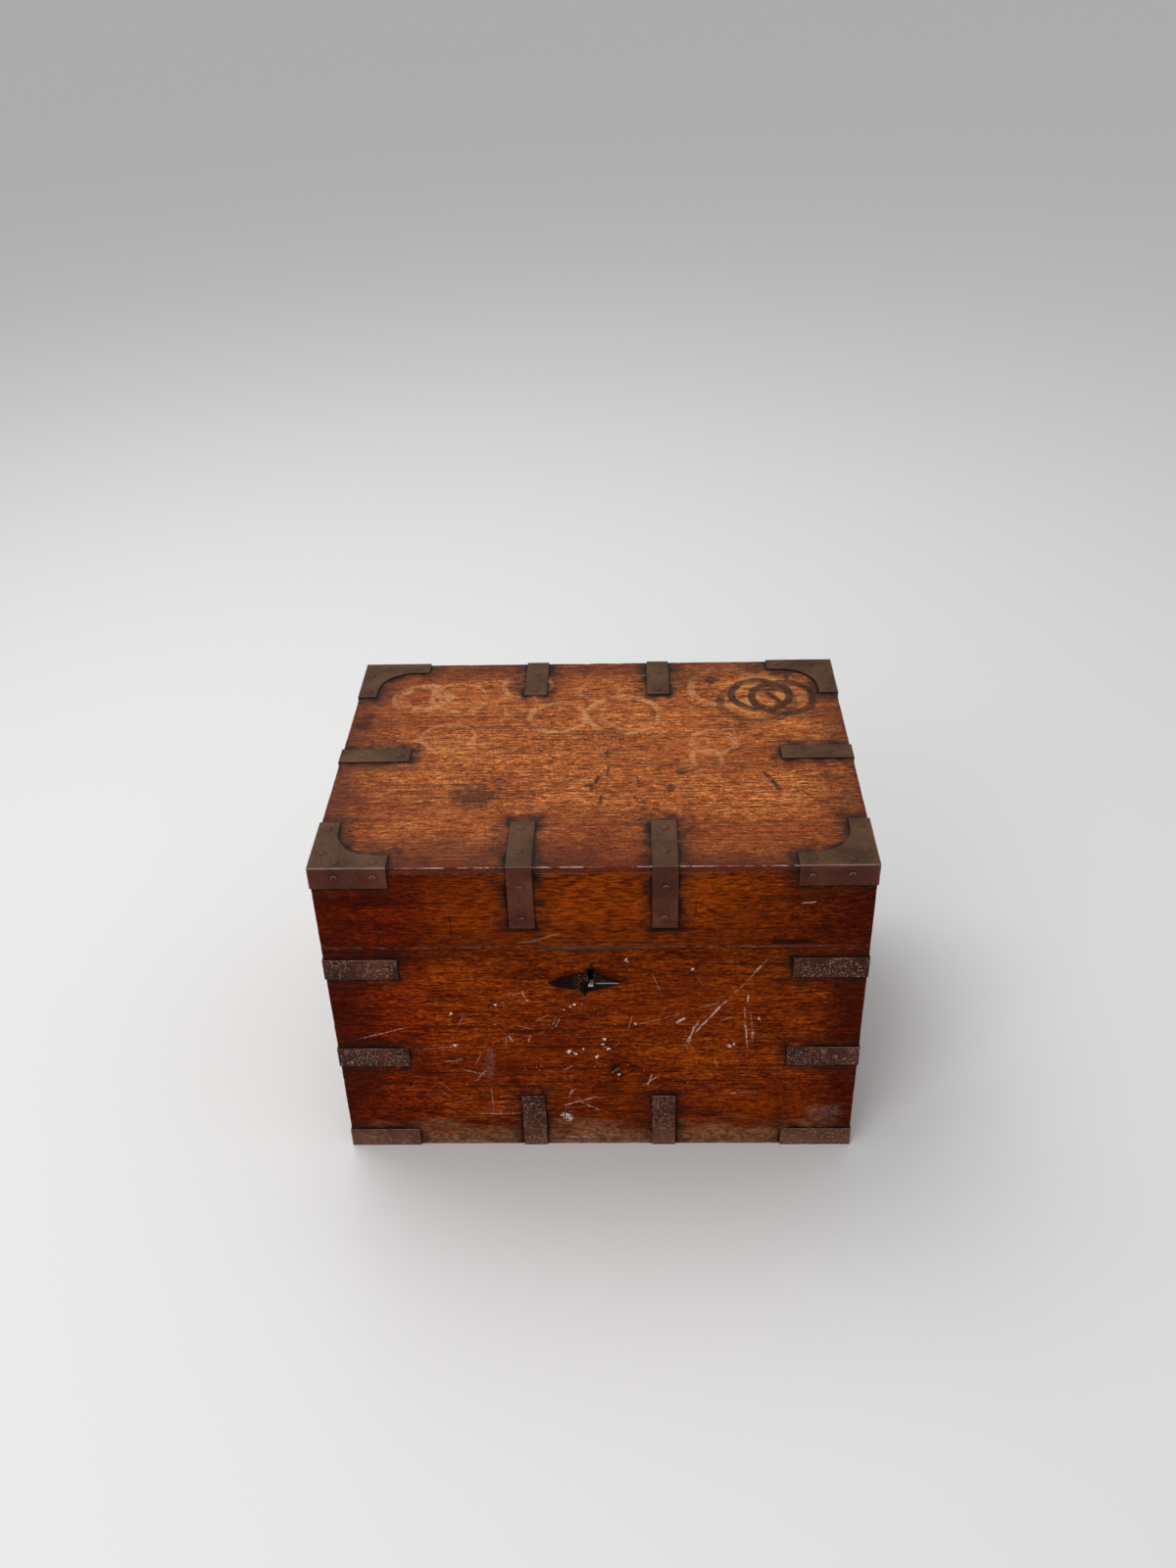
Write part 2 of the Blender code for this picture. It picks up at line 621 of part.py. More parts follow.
def staple_places():
    return [(side, LOCK_OFFSET + sign * STAPLE_SPACING / 2) for side, sign in SIDES.items()]


def tongue_tip(sign):
    """Where a tongue ends when the bolt is drawn back, just short of its staple."""
    return sign * STAPLE_SPACING / 2 - STAPLE_THICKNESS / 2 - TONGUE_PLAY


def tongue_root(sign):
    return tongue_tip(sign) - BOLT_THROW - 2 * TONGUE_PLAY


def bolt_left():
    return tongue_root(-1) - BOLT_POST


def bolt_right():
    return tongue_root(1) + BOLT_TAIL


def build_bolt():
    """The bolt: a bar with two posts whose tongues slide sideways through the staples."""
    tongue_top = RIM - EYE_TOP - TONGUE_PLAY
    tongue_bottom = RIM - EYE_TOP - EYE_HEIGHT + TONGUE_PLAY
    outline = [(bolt_left(), BAR_BOTTOM)]
    outline += [(-TALON_WIDTH / 2, BAR_BOTTOM), (-TALON_WIDTH / 2, BAR_BOTTOM + TALON_DEPTH),
                (TALON_WIDTH / 2, BAR_BOTTOM + TALON_DEPTH), (TALON_WIDTH / 2, BAR_BOTTOM)]
    outline += [(bolt_right(), BAR_BOTTOM), (bolt_right(), BAR_TOP)]
    for sign in (1, -1):
        tip = tongue_tip(sign)
        root = tongue_root(sign)
        outline += [(root, BAR_TOP), (root, tongue_bottom), (tip, tongue_bottom), (tip, tongue_top),
                    (root - BOLT_POST, tongue_top)]
        if sign > 0:
            outline.append((root - BOLT_POST, BAR_TOP))
    front = CASE_ROOM + SEAT_GAP
    outline = [(u, z - BAR_TOP) for u, z in outline]
    mesh = plate_mesh("lock_bolt", outline, TONGUE_BACK - front)
    place = axes((LOCK_OFFSET, (front + TONGUE_BACK) / 2, BAR_TOP), (1, 0, 0), (0, 0, 1))
    bolt = add_part("lock_bolt", mesh, place, LOCK_IRON, BOLT_PIVOT)
    low = (LOCK_LEFT, front - WALL, BAR_TOP)
    high = (LOCK_RIGHT, TONGUE_FRONT, RIM)
    relief = add_cutter("tongue_relief", *block("tongue_relief", low, high))
    combine(bolt, relief, "DIFFERENCE")


def build_spring():
    """A leaf spring that stands on the bolt's bar and bears up against the selvedge."""
    foot = tongue_root(1) - BOLT_POST - TONGUE_PLAY
    low = BAR_TOP + SEAT_GAP + SPRING_SHEET
    high = RIM - SELVEDGE - SEAT_GAP - SPRING_SHEET
    steps = 8
    path = []
    for step in range(steps + 1):
        share = step / steps
        rise = (1 - math.cos(math.pi * share)) / 2
        path.append((foot - SPRING_LENGTH * share, low + (high - low) * rise))
    obj = new_curve("bolt_spring", [(u, z - low) for u, z in path], "2D", False)
    obj.data.fill_mode = "NONE"
    obj.data.extrude = SPRING_WIDTH / 2
    thicken = obj.modifiers.new("thicken", "SOLIDIFY")
    thicken.thickness = SPRING_SHEET
    thicken.offset = 0.0
    mesh = evaluated_mesh(obj)
    middle_y = (CASE_ROOM + SEAT_GAP + TONGUE_BACK) / 2
    place = axes((LOCK_OFFSET, middle_y, low), (1, 0, 0), (0, 0, 1))
    add_part("bolt_spring", mesh, place, SPRING_STEEL, BOLT_PIVOT)


def lock_cover():
    """The plate over the lock's open side, on the inner face of the front board."""
    low = (LOCK_LEFT - COVER_MARGIN, INNER_FACE + SEAT_GAP, LOCK_BOTTOM - COVER_MARGIN)
    high = (LOCK_RIGHT + COVER_MARGIN, INNER_FACE + SEAT_GAP + COVER_SHEET, RIM - SELVEDGE)
    mesh, place = block("lock_cover", low, high)
    return add_part("lock_cover", mesh, place, LOCK_IRON)


INTO_BOARD = Matrix.Rotation(-math.pi / 2, 4, "X")


def build_drill_pin(cover):
    """The pin that a barrel key turns on, riveted through the cover."""
    seat = INNER_FACE + SEAT_GAP + COVER_SHEET
    bore = DRILL_PIN_RADIUS + PIN_CLEARANCE
    length = seat - CASE_FRONT
    top = SEAT_GAP + RIVET_HEAD_HEIGHT
    profile = [(0, top), (RIVET_HEAD_FLAT, top), (RIVET_HEAD_RADIUS, SEAT_GAP + RIVET_HEAD_HEIGHT / 2),
               (RIVET_HEAD_RADIUS, SEAT_GAP), (DRILL_PIN_RADIUS, SEAT_GAP), (DRILL_PIN_RADIUS, -length),
               (0, -length)]
    place = Matrix.Translation((LOCK_OFFSET, seat, KEYHOLE_Z)) @ INTO_BOARD
    add_part("drill_pin", turned_mesh("drill_pin", profile), place, LOCK_IRON)
    hole = add_cutter("drill_pin_bore", *bar("bore", (LOCK_OFFSET, seat, KEYHOLE_Z), ALONG_Y, bore,
                                             4 * COVER_SHEET, 16))
    combine(cover, hole, "DIFFERENCE")


def build_cover_screws(cover, board):
    """Four screws through the cover's margin into the front board."""
    seat = INNER_FACE + SEAT_GAP + COVER_SHEET
    bore = SCREW_SHANK_RADIUS + PIN_CLEARANCE
    depth = SCREW_LENGTH + SEAT_GAP
    top = SEAT_GAP + SCREW_HEAD_HEIGHT
    profile = [(0, top), (SCREW_HEAD_FLAT, top), (SCREW_HEAD_RADIUS, SEAT_GAP + SCREW_HEAD_HEIGHT / 2),
               (SCREW_HEAD_RADIUS, SEAT_GAP), (SCREW_SHANK_RADIUS, SEAT_GAP),
               (SCREW_SHANK_RADIUS, -SCREW_LENGTH), (0, -SCREW_LENGTH)]
    inset = COVER_MARGIN / 2
    rows = {"lower": LOCK_BOTTOM - inset, "upper": RIM - LOCK_HEIGHT / 3}
    for row, z in rows.items():
        for side, x in (("left", LOCK_LEFT - inset), ("right", LOCK_RIGHT + inset)):
            name = f"cover_screw_{row}_{side}"
            place = Matrix.Translation((x, seat, z)) @ INTO_BOARD
            add_part(name, turned_mesh(name, profile, 12), place, LOCK_IRON)
            hole = add_cutter(f"{name}_hole", *bar("hole", (x, seat - depth / 2, z), ALONG_Y, bore,
                                                   depth + 2 * COVER_SHEET, 12))
            combine(cover, hole, "DIFFERENCE")
            combine(board, hole, "DIFFERENCE")


def build_link_plate():
    """The plate let into the lid's front rim, with the two staples that the bolt passes through."""
    low = Vector((LOCK_LEFT, FRONT + LINK_SETBACK, LID_RIM))
    high = Vector((LOCK_RIGHT, INNER_FACE, LID_RIM + LINK_PLATE))
    mesh, place = block("link_plate", low, high)
    plate = add_part("link_plate", mesh, place, LOCK_IRON, LID_PIVOT)
    for side, x in staple_places():
        half = STAPLE_THICKNESS / 2
        low_staple = (x - half, STAPLE_FRONT, RIM - STAPLE_DROP)
        high_staple = (x + half, STAPLE_BACK, LID_RIM + LINK_PLATE / 2)
        staple = add_cutter(f"staple_{side}", *block("staple", low_staple, high_staple))
        combine(plate, staple, "UNION")
        eye_low = (x - 2 * half, EYE_FRONT, RIM - EYE_TOP - EYE_HEIGHT)
        eye_high = (x + 2 * half, EYE_BACK, RIM - EYE_TOP)
        eye = add_cutter(f"staple_eye_{side}", *block("staple_eye", eye_low, eye_high))
        combine(plate, eye, "DIFFERENCE")
    gap = Vector((SEAT_GAP, SEAT_GAP, SEAT_GAP))
    recess_high = Vector((high.x, INNER_FACE + WALL, high.z)) + gap
    recess_low = Vector((low.x, low.y, LID_RIM - WALL)) - gap
    recess = add_cutter("link_recess", *block("link_recess", recess_low, recess_high))
    combine(bpy.data.objects["lid_front"], recess, "DIFFERENCE")


def build_lock():
    keyhole = keyhole_cutters()
    board = bpy.data.objects["body_front"]
    combine(board, lock_mortise(), "DIFFERENCE")
    combine(board, keyhole, "DIFFERENCE")
    build_escutcheon(keyhole)
    lock_case(keyhole)
    cover = lock_cover()
    build_drill_pin(cover)
    build_cover_screws(cover, board)
    build_bolt()
    build_spring()
    build_link_plate()


def bail_path():
    """Half of a bail from its pintle in the ear round to the middle of the grip, then its mirror."""
    leg = EAR_SPACING / 2 + EAR_WIDTH / 2 + PINTLE_PLAY + PINTLE_BEND
    half = [(EAR_SPACING / 2 - EAR_WIDTH / 2 - HANDLE_ROD_RADIUS, 0.0)]
    half += arc((leg - PINTLE_BEND, -PINTLE_BEND), PINTLE_BEND, 90, 0, 5)
    half += arc((leg - HANDLE_BEND, HANDLE_BEND - HANDLE_DROP), HANDLE_BEND, 0, -90, 6)
    path = half + [(-y, z) for y, z in reversed(half)]
    return [(0.0, y, z) for y, z in path]


def build_handles():
    for side, sign in SIDES.items():
        wall = side_x(side)
        plate_face = wall + sign * (SEAT_GAP + HANDLE_PLATE)
        axis_x = plate_face + sign * HANDLE_STANDOFF
        low = (min(wall + sign * SEAT_GAP, plate_face), MIDDLE_Y - HANDLE_PLATE_LENGTH / 2,
               HANDLE_HEIGHT - HANDLE_PLATE_HEIGHT / 2)
        high = (max(wall + sign * SEAT_GAP, plate_face), MIDDLE_Y + HANDLE_PLATE_LENGTH / 2,
                HANDLE_HEIGHT + HANDLE_PLATE_HEIGHT / 2)
        mesh, place = block(f"handle_plate_{side}", low, high)
        plate = add_part(f"handle_plate_{side}", mesh, place, HANDLE_IRON)
        for end, outward in ENDS.items():
            middle = Vector((axis_x, MIDDLE_Y + outward * EAR_SPACING / 2, HANDLE_HEIGHT))
            ear = add_cutter(f"ear_{side}_{end}", *bar("ear", middle, ALONG_Y, EAR_RADIUS, EAR_WIDTH))
            root = plate_face - sign * HANDLE_PLATE / 2
            foot_low = (min(root, axis_x), middle.y - EAR_WIDTH / 2, HANDLE_HEIGHT - EAR_RADIUS)
            foot_high = (max(root, axis_x), middle.y + EAR_WIDTH / 2, HANDLE_HEIGHT + EAR_RADIUS)
            foot = add_cutter(f"ear_foot_{side}_{end}", *block("ear_foot", foot_low, foot_high))
            combine(ear, foot, "UNION")
            combine(plate, ear, "UNION")
            bore = add_cutter(f"ear_bore_{side}_{end}", *bar("bore", middle, ALONG_Y,
                                                             HANDLE_ROD_RADIUS + PIN_CLEARANCE,
                                                             2 * EAR_WIDTH, 16))
            combine(plate, bore, "DIFFERENCE")
        name = f"handle_bail_{side}"
        place = Matrix.Translation((axis_x, MIDDLE_Y, HANDLE_HEIGHT))
        add_part(name, rod_mesh(name, bail_path(), HANDLE_ROD_RADIUS), place, HANDLE_IRON)


build_body()
build_lid()
build_brackets()
build_straps()
build_hinges()
build_lock()
build_handles()
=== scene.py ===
import json
import math
import random
from functools import reduce

import bpy
import numpy as np
from mathutils import Euler, Matrix, Vector, noise

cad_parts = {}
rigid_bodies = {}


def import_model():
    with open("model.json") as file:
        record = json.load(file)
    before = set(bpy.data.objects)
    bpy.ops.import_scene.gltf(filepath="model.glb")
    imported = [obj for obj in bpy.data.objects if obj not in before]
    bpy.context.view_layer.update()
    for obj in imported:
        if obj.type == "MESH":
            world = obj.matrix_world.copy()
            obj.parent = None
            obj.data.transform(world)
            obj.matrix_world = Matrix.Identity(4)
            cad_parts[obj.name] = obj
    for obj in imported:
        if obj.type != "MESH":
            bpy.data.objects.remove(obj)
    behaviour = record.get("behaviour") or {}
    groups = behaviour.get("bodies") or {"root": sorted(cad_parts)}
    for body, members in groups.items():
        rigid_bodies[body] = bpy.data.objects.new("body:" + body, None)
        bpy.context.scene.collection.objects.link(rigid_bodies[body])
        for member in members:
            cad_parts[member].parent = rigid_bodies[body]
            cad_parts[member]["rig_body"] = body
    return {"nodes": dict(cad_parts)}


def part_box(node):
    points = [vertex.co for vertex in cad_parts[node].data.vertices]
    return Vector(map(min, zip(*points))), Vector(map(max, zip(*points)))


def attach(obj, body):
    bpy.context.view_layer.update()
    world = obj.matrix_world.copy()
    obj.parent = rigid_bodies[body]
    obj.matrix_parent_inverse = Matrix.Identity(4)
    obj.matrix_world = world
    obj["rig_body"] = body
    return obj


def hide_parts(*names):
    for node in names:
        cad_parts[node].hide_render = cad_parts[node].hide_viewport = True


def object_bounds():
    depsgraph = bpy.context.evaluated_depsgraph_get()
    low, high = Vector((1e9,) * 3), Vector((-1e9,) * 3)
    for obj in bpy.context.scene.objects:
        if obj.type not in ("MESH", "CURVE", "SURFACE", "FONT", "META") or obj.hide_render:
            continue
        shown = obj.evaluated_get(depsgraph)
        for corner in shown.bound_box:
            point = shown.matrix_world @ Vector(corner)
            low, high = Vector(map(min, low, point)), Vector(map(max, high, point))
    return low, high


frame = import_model()
cad_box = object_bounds()

# The studio: a plain pale floor under an even sky, with one broad soft lamp above and a smaller one in
# front, at a level where the lid shows about the colours that are written, and the photograph's view.
FLOOR_SPAN = 60.0
FLOOR_COLOUR = (0.76, 0.755, 0.74, 1)
FLOOR_ROUGHNESS = 0.9
SKY_COLOUR = (0.96, 0.97, 1.0, 1)
SKY_LEVEL = 0.55
LAMPS = {
    "overhead": ((-0.7, 0.7, 2.6), 1.8, 36),
    "front": ((-1.3, -2.3, 1.9), 1.6, 28),
}
VIEW_PLACE = (0.03901, -1.28025, 1.21378)
VIEW_TURN = (55.8765, 1.4374, 1.1666)
VIEW_FOCUS = 32.37
FILM_SIDE = 36

scene = bpy.context.scene
scene.view_settings.view_transform = "Standard"
bpy.ops.object.select_all(action="DESELECT")
bpy.ops.mesh.primitive_plane_add(size=FLOOR_SPAN)
floor = bpy.context.object
floor.name = "floor"
floor_paint = bpy.data.materials.new("floor_paint")
floor_paint.use_nodes = True
floor_shader = floor_paint.node_tree.nodes["Principled BSDF"]
floor_shader.inputs["Base Color"].default_value = FLOOR_COLOUR
floor_shader.inputs["Roughness"].default_value = FLOOR_ROUGHNESS
floor.data.materials.append(floor_paint)

scene.world = bpy.data.worlds.new("sky")
scene.world.use_nodes = True
sky = scene.world.node_tree.nodes["Background"]
sky.inputs["Color"].default_value = SKY_COLOUR
sky.inputs["Strength"].default_value = SKY_LEVEL

box_middle = (cad_box[0] + cad_box[1]) / 2
for name, (place, size, power) in LAMPS.items():
    aim = (box_middle - Vector(place)).to_track_quat("-Z", "Y").to_euler()
    bpy.ops.object.light_add(type="AREA", location=place, rotation=aim)
    lamp = bpy.context.object
    lamp.name = name + "_lamp"
    lamp.data.size = size
    lamp.data.energy = power

bpy.ops.object.camera_add(location=VIEW_PLACE, rotation=[math.radians(a) for a in VIEW_TURN])
camera = bpy.context.object
camera.data.sensor_width = FILM_SIDE
camera.data.lens = VIEW_FOCUS
scene.camera = camera

# The body boards: sawn teak, 20 mm thick, lapped at the corners and glued and nailed, with the floor
# board lipped under the walls.  The outside is varnished and worn; the inside is bare wood.
BOARD_CELL = 0.0027
LAP_GAP = 0.0003
ARRIS = 0.0005
TOP_ARRIS = 0.0012
ARRIS_REACH = 0.004
ARRIS_WEAR = 0.0007
HOLLOW = (55, 0, 0.5)
BRUISE = (130, 0.25, 1.4)
TOUCHING = 1e-5
BACK_SHARE = 0.2
ARM_WIDTH = 0.0215
ARM_CURVE = 0.0400
IRON_LAYER = 0.02
IRON_WORDS = ("strap", "corner", "leaf", "handle_plate")
FAR_FROM_IRON = 0.08
TURNS = {
    "front": Euler((math.pi / 2, 0, 0)),
    "back": Euler((math.pi / 2, 0, math.pi)),
    "left": Euler((math.pi / 2, 0, -math.pi / 2)),
    "right": Euler((math.pi / 2, 0, math.pi / 2)),
    "top": Euler((0, 0, 0)),
    "bottom": Euler((math.pi, 0, 0)),
}


def outward(face):
    """The way a face of the box looks."""
    normal = TURNS[face].to_matrix() @ Vector((0, 0, 1))
    return Vector([round(part) for part in normal])


def alone(piece):
    """Makes a piece the only one selected, ready for the next operator."""
    bpy.ops.object.select_all(action="DESELECT")
    piece.select_set(True)
    bpy.context.view_layer.objects.active = piece


def set_on(piece, finish, body, slot, *nodes):
    """Gives a piece its finish and fixes it to its body, in place of the nodes it stands for."""
    piece.data.materials.append(finish)
    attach(piece, body)
    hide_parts(*nodes)


def note(piece, **marks):
    """Writes marks on a piece's points, one number to a point, for its material to read."""
    for name, values in marks.items():
        layer = piece.data.attributes.new(name, "FLOAT", "POINT")
        layer.data.foreach_set("value", np.asarray(values, np.float32))


def points_of(piece):
    """A piece's points, one row to a point."""
    return np.array([vertex.co for vertex in piece.data.vertices])


def depth_below(points, node):
    """How deep points lie below the faces of a node's box, along each axis, the nearest first."""
    low, high = (np.array(corner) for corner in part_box(node))
    return np.sort(np.minimum(points - low, high - points), axis=1)


def board(node, face, arris, lip=None, shoulder=None):
    """Saws a board: a fine grid for its show face, square edges, any rebate behind a lip, a back."""
    low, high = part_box(node)
    middle = (low + high) / 2
    size = high - low
    out = outward(face)
    length, width, thickness = (abs(part) for part in TURNS[face].to_matrix().transposed() @ size)
    bpy.ops.mesh.primitive_grid_add(
        x_subdivisions=round(length / BOARD_CELL),
        y_subdivisions=round(width / BOARD_CELL),
        size=1,
        location=middle + out * thickness / 2,
        rotation=TURNS[face],
    )
    piece = bpy.context.object
    piece.name = node + "_sawn"
    piece.scale = (length, width, 1)
    bpy.ops.object.transform_apply(location=True, rotation=True, scale=True)
    bpy.ops.object.mode_set(mode="EDIT")
    bpy.ops.mesh.select_all(action="DESELECT")
    bpy.ops.mesh.select_non_manifold()
    bpy.ops.mesh.extrude_region_move(TRANSFORM_OT_translate={"value": -out * (lip or thickness)})
    if lip:
        bpy.ops.mesh.extrude_region_move()
        shrink = [1 - 2 * inset / side for inset, side in zip(shoulder, size)]
        bpy.ops.transform.resize(value=shrink, center_override=middle)
        bpy.ops.mesh.extrude_region_move(TRANSFORM_OT_translate={"value": out * (lip - thickness)})
    bpy.ops.mesh.edge_face_add()
    bpy.ops.object.mode_set(mode="OBJECT")
    front = (points_of(piece) - np.array(middle)) @ np.array(out) > thickness / 2 - TOUCHING
    ease(piece, front & (depth_below(points_of(piece), node)[:, 1] < TOUCHING), arris)
    return piece


def ease(piece, on_arris, arris):
    """Takes the sharpness off a board's arrises, which join the points marked."""
    for part in (piece.data.vertices, piece.data.polygons):
        part.foreach_set("select", np.zeros(len(part), bool))
    for edge in piece.data.edges:
        edge.select = all(on_arris[end] for end in edge.vertices)
    bpy.ops.object.mode_set(mode="EDIT")
    bpy.ops.mesh.select_mode(type="EDGE")
    bpy.ops.mesh.bevel(offset=arris, segments=3, affect="EDGES")
    bpy.ops.mesh.select_all(action="SELECT")
    bpy.ops.mesh.normals_make_consistent(inside=False)
    bpy.ops.mesh.select_mode(type="VERT")
    bpy.ops.object.mode_set(mode="OBJECT")


def cut_out(piece, low, high):
    """Chops a square recess in a board, between two corners."""
    low, high = Vector(low), Vector(high)
    bpy.ops.mesh.primitive_cube_add(size=1, location=(low + high) / 2, scale=high - low)
    cut_with(piece, bpy.context.object)


def cut_with(piece, cutter):
    """Takes a cutter's shape out of a piece, and the cutter away."""
    alone(piece)
    cut = piece.modifiers.new("cut", "BOOLEAN")
    cut.operation = "DIFFERENCE"
    cut.object = cutter
    bpy.ops.object.modifier_apply(modifier=cut.name)
    bpy.data.objects.remove(cutter)


def knock_arris(piece, node, depth, seed):
    """Wears a board's edges: shallow hollows all along them, and a deeper bruise here and there."""
    shift = Vector((seed * 3.7, seed * 1.3, seed * 2.1))
    reach = depth_below(points_of(piece), node)[:, 1]
    for vertex, away in zip(piece.data.vertices, reach):
        if away < ARRIS_REACH:
            knock = 0
            for cells, start, share in (HOLLOW, BRUISE):
                knock += max(0, noise.noise(vertex.co * cells + shift) - start) * share
            near = 1 - max(away, 0) / ARRIS_REACH
            vertex.co = vertex.co - vertex.normal * depth * near * knock


def irons_over(node, face):
    """The irons nailed over a board's show face: each one's name and the corners of its box."""
    out = outward(face)
    axis = max(range(3), key=lambda n: abs(out[n]))
    side = 1 if out[axis] > 0 else 0
    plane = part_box(node)[side][axis]
    for iron in frame["nodes"]:
        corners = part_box(iron)
        rise = (corners[side][axis] - plane) * out[axis]
        if any(word in iron for word in IRON_WORDS) and 0 < rise < IRON_LAYER:
            yield iron, *corners


def gap_to_strap(points, low, high, across):
    """How far points lie from a straight iron, along the two axes that lie in the board's face."""
    beyond = [np.maximum(low[n] - points[:, n], points[:, n] - high[n]) for n in across]
    return np.hypot(*[np.maximum(part, 0) for part in beyond])


def gap_to_bracket(points, low, high, across):
    """How far points lie from a corner bracket: from its two arms and the hollow curve between them."""
    gaps, depths = [], []
    for n in across:
        arm_low, arm_high = low.copy(), high.copy()
        if low[n] + high[n] < 0:
            arm_high[n] = low[n] + ARM_WIDTH
            depths.append(points[:, n] - low[n] - ARM_WIDTH)
        else:
            arm_low[n] = high[n] - ARM_WIDTH
            depths.append(high[n] - points[:, n] - ARM_WIDTH)
        gaps.append(gap_to_strap(points, arm_low, arm_high, across))
    curved = np.all([(depth > 0) & (depth < ARM_CURVE) for depth in depths], axis=0)
    to_curve = ARM_CURVE - np.hypot(*[ARM_CURVE - depth for depth in depths])
    gaps.append(np.where(curved, np.maximum(to_curve, 0), FAR_FROM_IRON))
    return np.min(gaps, axis=0)


def gap_to_irons(points, node, face):
    """How far each point of a board's show face lies from the nearest iron nailed over that face."""
    out = outward(face)
    across = [n for n in range(3) if not out[n]]
    nearest = np.full(len(points), FAR_FROM_IRON)
    for iron, low, high in irons_over(node, face):
        gap_to = gap_to_bracket if "corner" in iron and out.z else gap_to_strap
        nearest = np.minimum(nearest, gap_to(points, low, high, across))
    return nearest


def note_wear(piece, node, face):
    """Notes how near an iron, an outer edge and an arris each point lies, and which are on the board's
    edges or inside the box."""
    points = points_of(piece)
    low, high = (np.array(corner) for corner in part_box(node))
    out = np.array(outward(face))
    across = out == 0
    edge = np.min(np.minimum(points - low, high - points)[:, across], axis=1)
    height = (points - (low + high) / 2) @ out
    note(
        piece,
        iron_gap=gap_to_irons(points, node, face),
        edge_gap=edge,
        arris_gap=depth_below(points, node)[:, 1],
        flank=np.clip((height.max() - height) / TOP_ARRIS, 0, 1),
        inside=height < -BACK_SHARE * height.max(),
    )


class Shade:
    """One shader socket: sums on it add Math nodes, and node() adds any other node beside it."""

    def __init__(self, tree, socket):
        self.tree = tree
        self.socket = socket

    def node(self, kind, settings=None, inputs=None, output=0):
        """Adds a node, sets it up, feeds its inputs from values or shades, and gives one output."""
        made = self.tree.nodes.new(kind)
        for name, value in (settings or {}).items():
            setattr(made, name, value)
        for name, value in (inputs or {}).items():
            if isinstance(value, Shade):
                self.tree.links.new(value.socket, made.inputs[name])
            else:
                made.inputs[name].default_value = value
        return Shade(self.tree, made.outputs[output])

    def sum(self, operation, *terms):
        """Adds a Math node."""
        return self.node("ShaderNodeMath", {"operation": operation}, dict(enumerate(terms)))

    def vector(self, operation, inputs, output=0):
        """Adds a Vector Math node."""
        return self.node("ShaderNodeVectorMath", {"operation": operation}, {0: self, **inputs}, output)

    def __add__(self, other):
        return self.sum("ADD", self, other)

    def __sub__(self, other):
        return self.sum("SUBTRACT", self, other)

    def __rsub__(self, other):
        return self.sum("SUBTRACT", other, self)

    def __mul__(self, other):
        return self.sum("MULTIPLY", self, other)

    def __abs__(self):
        return self.sum("ABSOLUTE", self)

    __radd__ = __add__
    __rmul__ = __mul__

    def most(self, other):
        return self.sum("MAXIMUM", self, other)

    def ramp(self, stops):
        """The colour that a row of stops gives for this value."""
        shade = self.node("ShaderNodeValToRGB", None, {0: self})
        row = shade.socket.node.color_ramp.elements
        row[0].position, row[0].color = stops[0]
        row[1].position, row[1].color = stops[-1]
        for place, tone in stops[1:-1]:
            row.new(place).color = tone
        return shade

    def rise(self, start, end):
        """0 up to start, 1 from end on, and a smooth rise between; it falls where end is the lower."""
        ends = {"Value": self, "From Min": start, "From Max": end}
        return self.node("ShaderNodeMapRange", {"interpolation_type": "SMOOTHSTEP"}, ends)

    def blend(self, first, second):
        """The first colour where this is 0 and the second where it is 1."""
        ends = {0: self, 6: first, 7: second}
        return self.node("ShaderNodeMix", {"data_type": "RGBA"}, ends, 2)


def colour(red, green, blue):
    """A colour from 0 to 255, as the eye names it, made linear for the shader."""
    parts = [c / 255 for c in (red, green, blue)]
    return [c / 12.92 if c <= 0.04045 else ((c + 0.055) / 1.055) ** 2.4 for c in parts] + [1]


def three_tones(dark, middle, light):
    """Stops for a ramp on noise, which keeps near its middle."""
    return [(0.40, colour(*dark)), (0.5, colour(*middle)), (0.6, colour(*light))]


def new_finish(name):
    """A new material: itself, its shader node, and the place on the piece that patterns start from."""
    finish = bpy.data.materials.new(name)
    finish.use_nodes = True
    tree = finish.node_tree
    place = Shade(tree, tree.nodes.new("ShaderNodeTexCoord").outputs["Object"])
    return finish, tree.nodes["Principled BSDF"], place


def feed(shader, **values):
    """Feeds shader sockets, named with _ for a space, from shades or with plain values."""
    for name, value in values.items():
        socket = shader.inputs[name.replace("_", " ")]
        if isinstance(value, Shade):
            value.tree.links.new(value.socket, socket)
        else:
            socket.default_value = value


def grained(place, scale, detail=3, distortion=0):
    """Noise drawn out by unequal scales, in cells per metre along, across and through the grain."""
    stretched = place.node("ShaderNodeMapping", None, {"Vector": place, "Scale": scale})
    inputs = {"Vector": stretched, "Scale": 1, "Detail": detail, "Distortion": distortion}
    return place.node("ShaderNodeTexNoise", None, inputs)


def noted(place, name):
    """A mark that was written on the piece's points."""
    return place.node("ShaderNodeAttribute", {"attribute_name": name}, output="Fac")


def part_of(place, axis):
    """One coordinate of a place."""
    return place.node("ShaderNodeSeparateXYZ", None, {0: place}, axis)


RAW_TEAK = three_tones((96, 62, 38), (142, 98, 62), (172, 126, 84))
RAW_PORE = colour(84, 52, 32)
RAW_ROUGHNESS = 0.75
# Near-black for dirt, also used for painted shade in the line round the irons and on the rims of the
# nail heads.
DIRT_AND_SHADE = colour(24, 12, 7)
IRON_STAIN = colour(36, 22, 18)


